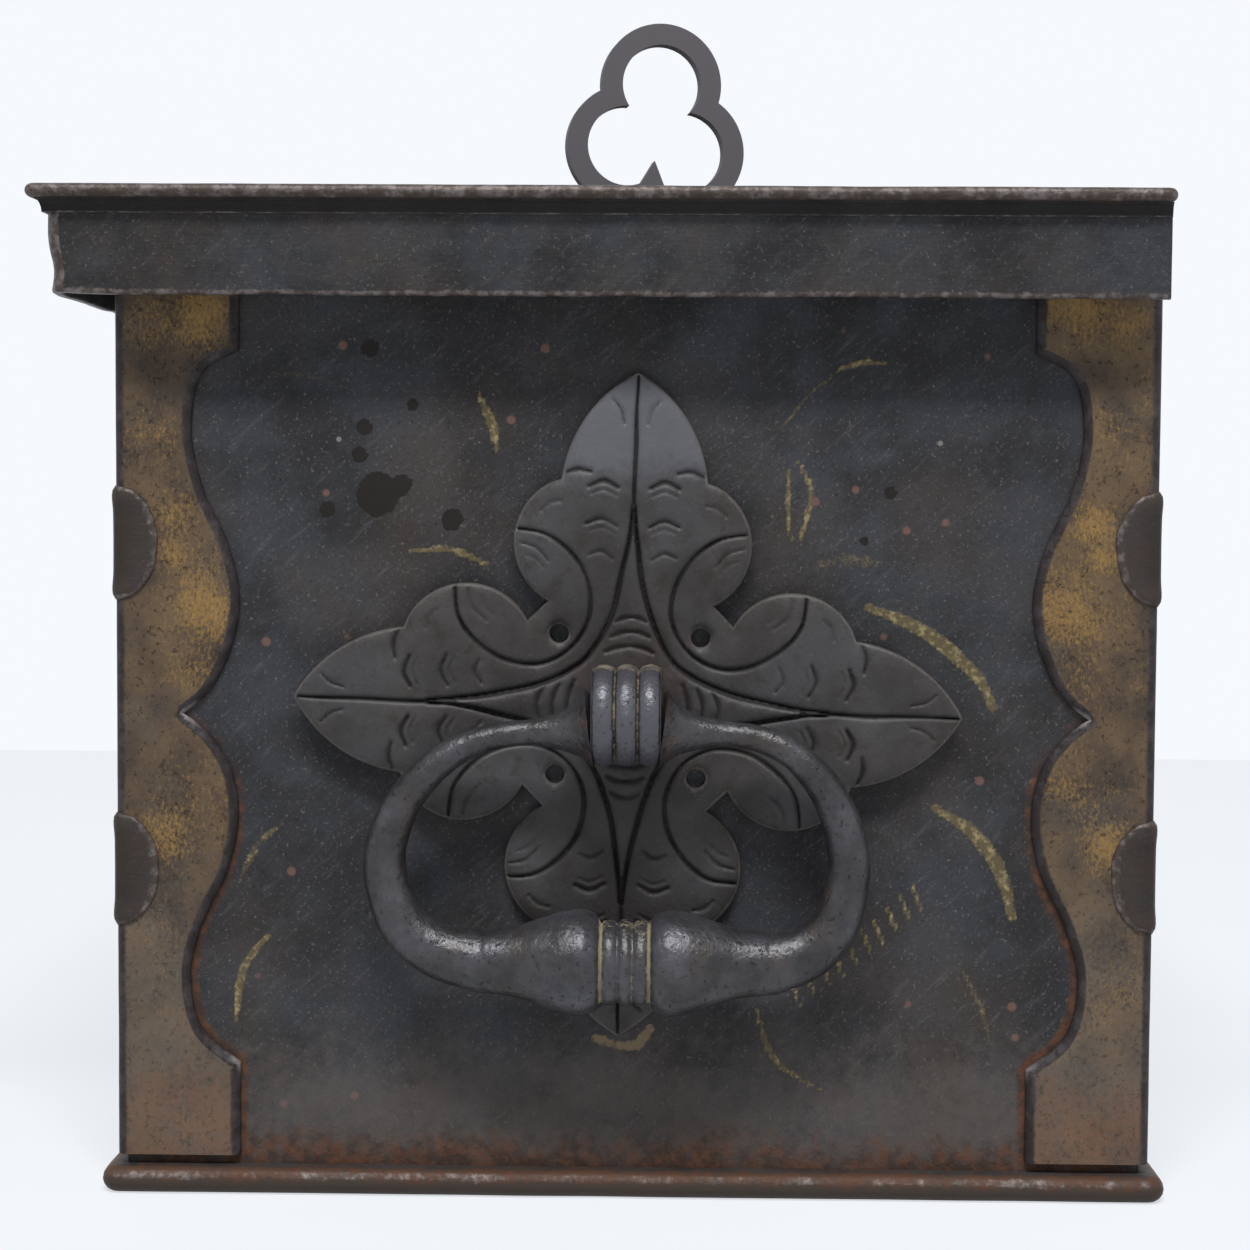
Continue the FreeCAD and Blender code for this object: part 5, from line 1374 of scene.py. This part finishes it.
def build_cove(node, side, mitre_start, mitre_end):
    """One hollow moulding strip under the edge of the lid, mitred where it meets the next."""
    low, high = side_range(node, side)
    reach, tall = high[2] - low[2], high[1] - low[1]
    rings = []
    for share in np.linspace(0.0, 1.0, 60):
        ring = []
        for out, up in COVE_SECTION:
            start = low[0] + (reach * (1 - out) if mitre_start else 0.0)
            end = high[0] - (reach * (1 - out) if mitre_end else 0.0)
            place = start + share * (end - start)
            wave = waver(place / 20.0, reach * out, up + len(node))
            height = low[1] + up * tall + 0.1 * wave * (0.2 < up < 0.9)
            ring.append((place, height, low[2] + out * reach - 0.15 * abs(wave)))
        rings.append(np.array(ring))
    points, faces = loft(rings)
    edge = [0.3 if out == 1.0 else 0.75 if up == 0.0 else 0.0 for out, up in COVE_SECTION]
    # Painted shade: strong in the hollow of the cove, faint on its lip and foot
    shade = [0.75 if 0.1 < up < 0.9 else 0.2 for _, up in COVE_SECTION]
    marks = {"edge": np.tile(edge, len(rings)), "shade": np.tile(shade, len(rings)),
             "brown": np.full(len(points), 0.2)}
    make_piece(node.replace("cove", "cove_moulding"), on_side(side, points), faces, worn_plate(), "lid",
               [node], marks, crease=50)


# Rivets, hinges, lock and key

RIVET_SHANK = 1.7
RIVET_SIDES = 20
RIVET_RINGS = 12
RIVET_SIZES = (0.9, 1.0)
RIVET_INPUTS = {"Places": "Geometry", "Head Radius": "Float", "Head Rise": "Float", "Shank Radius": "Float",
                "Shank Length": "Float", "Turn": "Vector", "Seed": "Int", "Finish": "Material"}
RIVETS = {"hinge_wall_rivets": ("case", 1), "hinge_lid_rivets": ("lid", 2)}
PLAIN_NODES = ("left_hinge_wall_leaf", "right_hinge_wall_leaf", "left_hinge_lid_leaf", "right_hinge_lid_leaf",
               "left_hinge_pin", "right_hinge_pin", "front_strike", "left_strike", "right_strike",
               "lock_driver", "front_bolt", "left_bolt", "right_bolt", "front_bolt_guides",
               "left_bolt_guides", "right_bolt_guides", "lock_cover", "lock_pillars", "driver_bush")


def islands(node):
    """Lowest and highest corners of each separate solid of a node, in millimetres."""
    work = bmesh.new()
    work.from_mesh(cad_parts[node].data)
    bmesh.ops.remove_doubles(work, verts=work.verts, dist=1e-6)
    waiting, boxes = set(work.verts), []
    while waiting:
        group, edge = set(), [next(iter(waiting))]
        while edge:
            vertex = edge.pop()
            if vertex not in group:
                group.add(vertex)
                edge += [e.other_vert(vertex) for e in vertex.link_edges]
        waiting -= group
        places = np.array([vertex.co for vertex in group]) / MM
        boxes.append((places.min(axis=0), places.max(axis=0)))
    work.free()
    return sorted(boxes, key=lambda box: tuple(box[0].round(3)))


def rivet_links(add, given, real):
    """Sets a domed rivet with its shank on every point, each a little smaller or larger than the next."""
    dome, shank = add("GeometryNodeMeshUVSphere"), add("GeometryNodeMeshCylinder")
    dome.inputs["Segments"].default_value = shank.inputs["Vertices"].default_value = RIVET_SIDES
    dome.inputs["Rings"].default_value = RIVET_RINGS
    ratio, squash, flatten = add("ShaderNodeMath"), add("ShaderNodeCombineXYZ"), add("GeometryNodeTransform")
    ratio.operation = "DIVIDE"
    squash.inputs["X"].default_value = squash.inputs["Y"].default_value = 1.0
    drop, down, sink = add("ShaderNodeMath"), add("ShaderNodeCombineXYZ"), add("GeometryNodeTransform")
    drop.operation = "MULTIPLY"
    drop.inputs[1].default_value = -0.5
    join, smooth = add("GeometryNodeJoinGeometry"), add("GeometryNodeSetShadeSmooth")
    vary, place = add("FunctionNodeRandomValue"), add("GeometryNodeInstanceOnPoints")
    vary.inputs[2].default_value, vary.inputs[3].default_value = RIVET_SIZES
    return [((given, "Head Radius"), (dome, "Radius")), ((given, "Head Rise"), (ratio, 0)),
            ((given, "Head Radius"), (ratio, 1)), ((ratio, 0), (squash, "Z")),
            ((squash, 0), (flatten, "Scale")), ((dome, "Mesh"), (flatten, "Geometry")),
            ((given, "Shank Radius"), (shank, "Radius")),
            ((given, "Shank Length"), (shank, "Depth")), ((given, "Shank Length"), (drop, 0)),
            ((drop, 0), (down, "Z")), ((down, 0), (sink, "Translation")),
            ((shank, "Mesh"), (sink, "Geometry")), ((flatten, 0), (join, 0)), ((sink, 0), (join, 0)),
            ((join, 0), (smooth, 0)),
            ((given, "Places"), (place, "Points")), ((smooth, 0), (place, "Instance")),
            ((given, "Turn"), (place, "Rotation")), ((given, "Seed"), (vary, "Seed")),
            ((vary, 1), (place, "Scale")), ((place, 0), (real, 0))]


def build_rivets(node, body, axis):
    """The rivets of the hinges, set by geometry nodes at the places of the frame's own rivets."""
    shape = bpy.context.scene.strongbox_shape
    places, reach = [], 0.0
    for low, high in islands(node):
        place = (low + high) / 2
        place[axis] = high[axis] - shape.rivet_rise / MM
        places.append(place)
        reach = max(reach, high[axis] - low[axis] - shape.rivet_rise / MM)
    source = bpy.data.meshes.new(node + "_places")
    source.from_pydata([tuple(place * MM) for place in places], [], [])
    turn = (-math.pi / 2, 0.0, 0.0) if axis == 1 else (0.0, 0.0, 0.0)
    inputs = {"Head Radius": shape.rivet_head, "Head Rise": shape.rivet_rise,
              "Shank Radius": RIVET_SHANK * MM, "Shank Length": reach * MM, "Turn": turn, "Seed": shape.seed,
              "Finish": plain_forging()}
    mesh = grown_mesh(node + "_set", source, node_group("hammered_rivets", RIVET_INPUTS, rivet_links), inputs)
    place_mesh(node + "_set", mesh, plain_forging(), body, [node], {}, crease=60)


# Floor, light and camera

CAMERA_PLACE = (0.722, 0.0077, 0.1588)
CAMERA_YAW = math.radians(1.01)
CAMERA_DIP = math.radians(3.19)
CAMERA_ROLL = math.radians(0.36)
SOFTBOX_SIZE = (2.3, 0.55)
SOFTBOX_PLACE = (2.3, 0.0, 3.68)
SOFTBOX_AIM = (0.16, 0.0, 0.12)
FLOOR_REAR = -0.76
FLOOR_REACH = 3.0
# Share of the floor that shows the backdrop's colour, whatever light falls on it
FLOOR_GLOW = 0.66


def background_ray(tree):
    """1 for the rays that show the background: straight to the camera, mirrored or through glass."""
    path = tree.nodes.new("ShaderNodeLightPath")
    seen = path.outputs["Is Camera Ray"]
    for ray in ("Is Glossy Ray", "Is Transmission Ray"):
        either = tree.nodes.new("ShaderNodeMath")
        either.operation = "MAXIMUM"
        tree.links.new(seen, either.inputs[0])
        tree.links.new(path.outputs[ray], either.inputs[1])
        seen = either.outputs[0]
    return seen


def build_floor(settings):
    """Pale floor, partly the backdrop's colour, that keeps the box's shadow."""
    mesh = bpy.data.meshes.new("studio_floor")
    corners = [(FLOOR_REAR, -FLOOR_REACH, 0.0), (FLOOR_REACH, -FLOOR_REACH, 0.0),
               (FLOOR_REACH, FLOOR_REACH, 0.0), (FLOOR_REAR, FLOOR_REACH, 0.0)]
    mesh.from_pydata(corners, [], [(0, 1, 2, 3)])
    layers = Layers("studio_floor")
    layers.ground(layers.patch(300.0, 0.3, 0.7), settings.floor, tuple(0.97 * c for c in settings.floor))
    layers.finish(0.7, gloss=0.2)
    glow = layers.add("Emission", {"Color": (*settings.backdrop, 1.0), "Strength": 1.0}).outputs[0]
    mixed = layers.add("MixShader", {0: layers.times(background_ray(layers.tree), FLOOR_GLOW),
                                     1: layers.shader.outputs[0], 2: glow})
    layers.join(mixed.outputs[0], layers.tree.nodes["Material Output"].inputs["Surface"])
    mesh.materials.append(layers.material)
    floor = place_object("studio_floor", mesh)


def build_room(settings):
    """Even light of the room on the box, and the plain backdrop where the background is seen."""
    world = bpy.data.worlds.new("studio_room")
    world.use_nodes = True
    bpy.context.scene.world = world
    nodes, link = world.node_tree.nodes, world.node_tree.links.new
    nodes.clear()
    output, mix = nodes.new("ShaderNodeOutputWorld"), nodes.new("ShaderNodeMixShader")
    link(background_ray(world.node_tree), mix.inputs[0])
    for socket, strength in ((1, settings.fill), (2, 1.0)):
        light = nodes.new("ShaderNodeBackground")
        light.inputs["Color"].default_value = (*settings.backdrop, 1.0)
        light.inputs["Strength"].default_value = strength
        link(light.outputs[0], mix.inputs[socket])
    link(mix.outputs[0], output.inputs["Surface"])


def build_softbox(settings):
    """The wide lamp above and before the box."""
    lamp = bpy.data.lights.new("overhead_softbox", "AREA")
    lamp.shape = "RECTANGLE"
    lamp.size, lamp.size_y = SOFTBOX_SIZE
    lamp.energy = settings.key_power
    softbox = place_object("overhead_softbox", lamp)
    softbox.location = SOFTBOX_PLACE
    aim = Vector(SOFTBOX_AIM) - Vector(SOFTBOX_PLACE)
    softbox.rotation_euler = aim.to_track_quat("-Z", "Y").to_euler()


def build_camera(settings):
    """The camera where the photograph was taken from."""
    lens = bpy.data.cameras.new("photo_camera")
    lens.lens = settings.lens
    lens.sensor_width = 36.0
    lens.clip_start, lens.clip_end = 0.01, 50.0
    camera = place_object("photo_camera", lens)
    level = Vector((-math.sin(CAMERA_YAW), math.cos(CAMERA_YAW), 0.0))
    ahead = Vector((-math.cos(CAMERA_YAW), -math.sin(CAMERA_YAW), 0.0))
    forward = ahead * math.cos(CAMERA_DIP) - Vector(UP) * math.sin(CAMERA_DIP)
    upright = level.cross(forward)
    right = level * math.cos(CAMERA_ROLL) + upright * math.sin(CAMERA_ROLL)
    above = upright * math.cos(CAMERA_ROLL) - level * math.sin(CAMERA_ROLL)
    turn = Matrix((right, above, -forward)).transposed().to_4x4()
    camera.matrix_world = Matrix.Translation(CAMERA_PLACE) @ turn
    bpy.context.scene.camera = camera


# Operators

class STRONGBOX_OT_stage(bpy.types.Operator):
    """Sets up the floor, the light and the camera"""
    bl_idname = "strongbox.stage"
    bl_label = "Stage"

    def execute(self, context):
        for build in (build_floor, build_room, build_softbox, build_camera):
            build(context.scene.strongbox_stage)
        context.scene.view_settings.view_transform = "Standard"
        return {"FINISHED"}


class STRONGBOX_OT_walls(bpy.types.Operator):
    """Builds the four hammered and painted walls"""
    bl_idname = "strongbox.walls"
    bl_label = "Walls"

    def execute(self, context):
        for node, (side, spread) in WALLS.items():
            build_wall(node, side, spread)
        return {"FINISHED"}


class STRONGBOX_OT_straps(bpy.types.Operator):
    """Builds the four scalloped corner straps"""
    bl_idname = "strongbox.straps"
    bl_label = "Corner straps"

    def execute(self, context):
        for node, signs in STRAP_NODES.items():
            build_strap(node, signs)
        return {"FINISHED"}


class STRONGBOX_OT_clips(bpy.types.Operator):
    """Builds the eight clips round the corners"""
    bl_idname = "strongbox.clips"
    bl_label = "Corner clips"

    def execute(self, context):
        build_clips()
        return {"FINISHED"}


class STRONGBOX_OT_leaves(bpy.types.Operator):
    """Builds the two chased leaf plates behind the handles"""
    bl_idname = "strongbox.leaves"
    bl_label = "Leaf plates"

    def execute(self, context):
        for side in ("right", "left"):
            build_leaf(side + "_leaf_plate", side)
        return {"FINISHED"}


class STRONGBOX_OT_staples(bpy.types.Operator):
    """Builds the two ridged staples that hold the handles"""
    bl_idname = "strongbox.staples"
    bl_label = "Handle staples"

    def execute(self, context):
        for side in ("right", "left"):
            build_staple(side + "_handle_staple", side)
        return {"FINISHED"}


class STRONGBOX_OT_handles(bpy.types.Operator):
    """Builds the two forged drop handles"""
    bl_idname = "strongbox.handles"
    bl_label = "Drop handles"

    def execute(self, context):
        for side in ("right", "left"):
            build_handle(side + "_drop_handle", side)
        return {"FINISHED"}


class STRONGBOX_OT_base(bpy.types.Operator):
    """Builds the base plate with its round nose"""
    bl_idname = "strongbox.base"
    bl_label = "Base plate"

    def execute(self, context):
        rim = nose_rim(BASE_THICK, BASE_NOSE)
        forged_plate("nosed_base", "base_plate", "case", rim, [], BASE_GRID, base_marks)
        return {"FINISHED"}


class STRONGBOX_OT_lid(bpy.types.Operator):
    """Builds the lid plate with its coin slot and keyhole"""
    bl_idname = "strongbox.lid"
    bl_label = "Lid plate"

    def execute(self, context):
        rim = nose_rim(LID_THICK, LID_NOSE)
        forged_plate("nosed_lid", "lid_plate", "lid", rim, lid_holes(), LID_GRID, lid_marks)
        return {"FINISHED"}


class STRONGBOX_OT_skirt(bpy.types.Operator):
    """Builds the hammered skirt of the lid"""
    bl_idname = "strongbox.skirt"
    bl_label = "Lid skirt"

    def execute(self, context):
        build_skirt()
        return {"FINISHED"}


class STRONGBOX_OT_mouldings(bpy.types.Operator):
    """Builds the three hollow mouldings under the lid"""
    bl_idname = "strongbox.mouldings"
    bl_label = "Cove mouldings"

    def execute(self, context):
        for node, (side, start, end) in COVES.items():
            build_cove(node, side, start, end)
        return {"FINISHED"}


class STRONGBOX_OT_rivets(bpy.types.Operator):
    """Sets the rivets of the hinges"""
    bl_idname = "strongbox.rivets"
    bl_label = "Hinge rivets"

    def execute(self, context):
        for node, (body, axis) in RIVETS.items():
            build_rivets(node, body, axis)
        return {"FINISHED"}


class STRONGBOX_OT_ironwork(bpy.types.Operator):
    """Gives the hinges, the lock work and the key their finishes"""
    bl_idname = "strongbox.ironwork"
    bl_label = "Hinges, lock and key"

    def execute(self, context):
        for node in PLAIN_NODES:
            wear_node(node, plain_forging())
        wear_node("key", key_finish())
        return {"FINISHED"}


class STRONGBOX_PT_panel(bpy.types.Panel):
    """Lists the steps that build the donation box"""
    bl_idname = "STRONGBOX_PT_panel"
    bl_label = "Iron Donation Box"
    bl_space_type = "VIEW_3D"
    bl_region_type = "UI"
    bl_category = "Donation Box"

    def draw(self, context):
        for step in STEPS:
            self.layout.operator(step.bl_idname)
        for group in GROUPS:
            settings = getattr(context.scene, group)
            for key in settings.__annotations__:
                self.layout.prop(settings, key)


STEPS = (STRONGBOX_OT_stage, STRONGBOX_OT_walls, STRONGBOX_OT_straps, STRONGBOX_OT_clips, STRONGBOX_OT_leaves,
         STRONGBOX_OT_staples, STRONGBOX_OT_handles, STRONGBOX_OT_base, STRONGBOX_OT_lid, STRONGBOX_OT_skirt,
         STRONGBOX_OT_mouldings, STRONGBOX_OT_rivets, STRONGBOX_OT_ironwork)
GROUPS = {"strongbox_finish": StrongboxFinish, "strongbox_shape": StrongboxShape,
          "strongbox_stage": StrongboxStage}


def register():
    """Registers the settings, the operators and the panel."""
    for kind in (*GROUPS.values(), *STEPS, STRONGBOX_PT_panel):
        bpy.utils.register_class(kind)
    for name, group in GROUPS.items():
        setattr(bpy.types.Scene, name, bpy.props.PointerProperty(type=group))


def unregister():
    """Takes the panel, the operators and the settings away again."""
    for name in GROUPS:
        delattr(bpy.types.Scene, name)
    for kind in reversed((*GROUPS.values(), *STEPS, STRONGBOX_PT_panel)):
        bpy.utils.unregister_class(kind)


def main():
    """Builds the whole box, step by step, and notes its size."""
    register()
    for step in STEPS:
        group, name = step.bl_idname.split(".")
        if getattr(getattr(bpy.ops, group), name)() != {"FINISHED"}:
            raise RuntimeError(step.bl_label + " was not built")


if __name__ == "__main__":
    main()
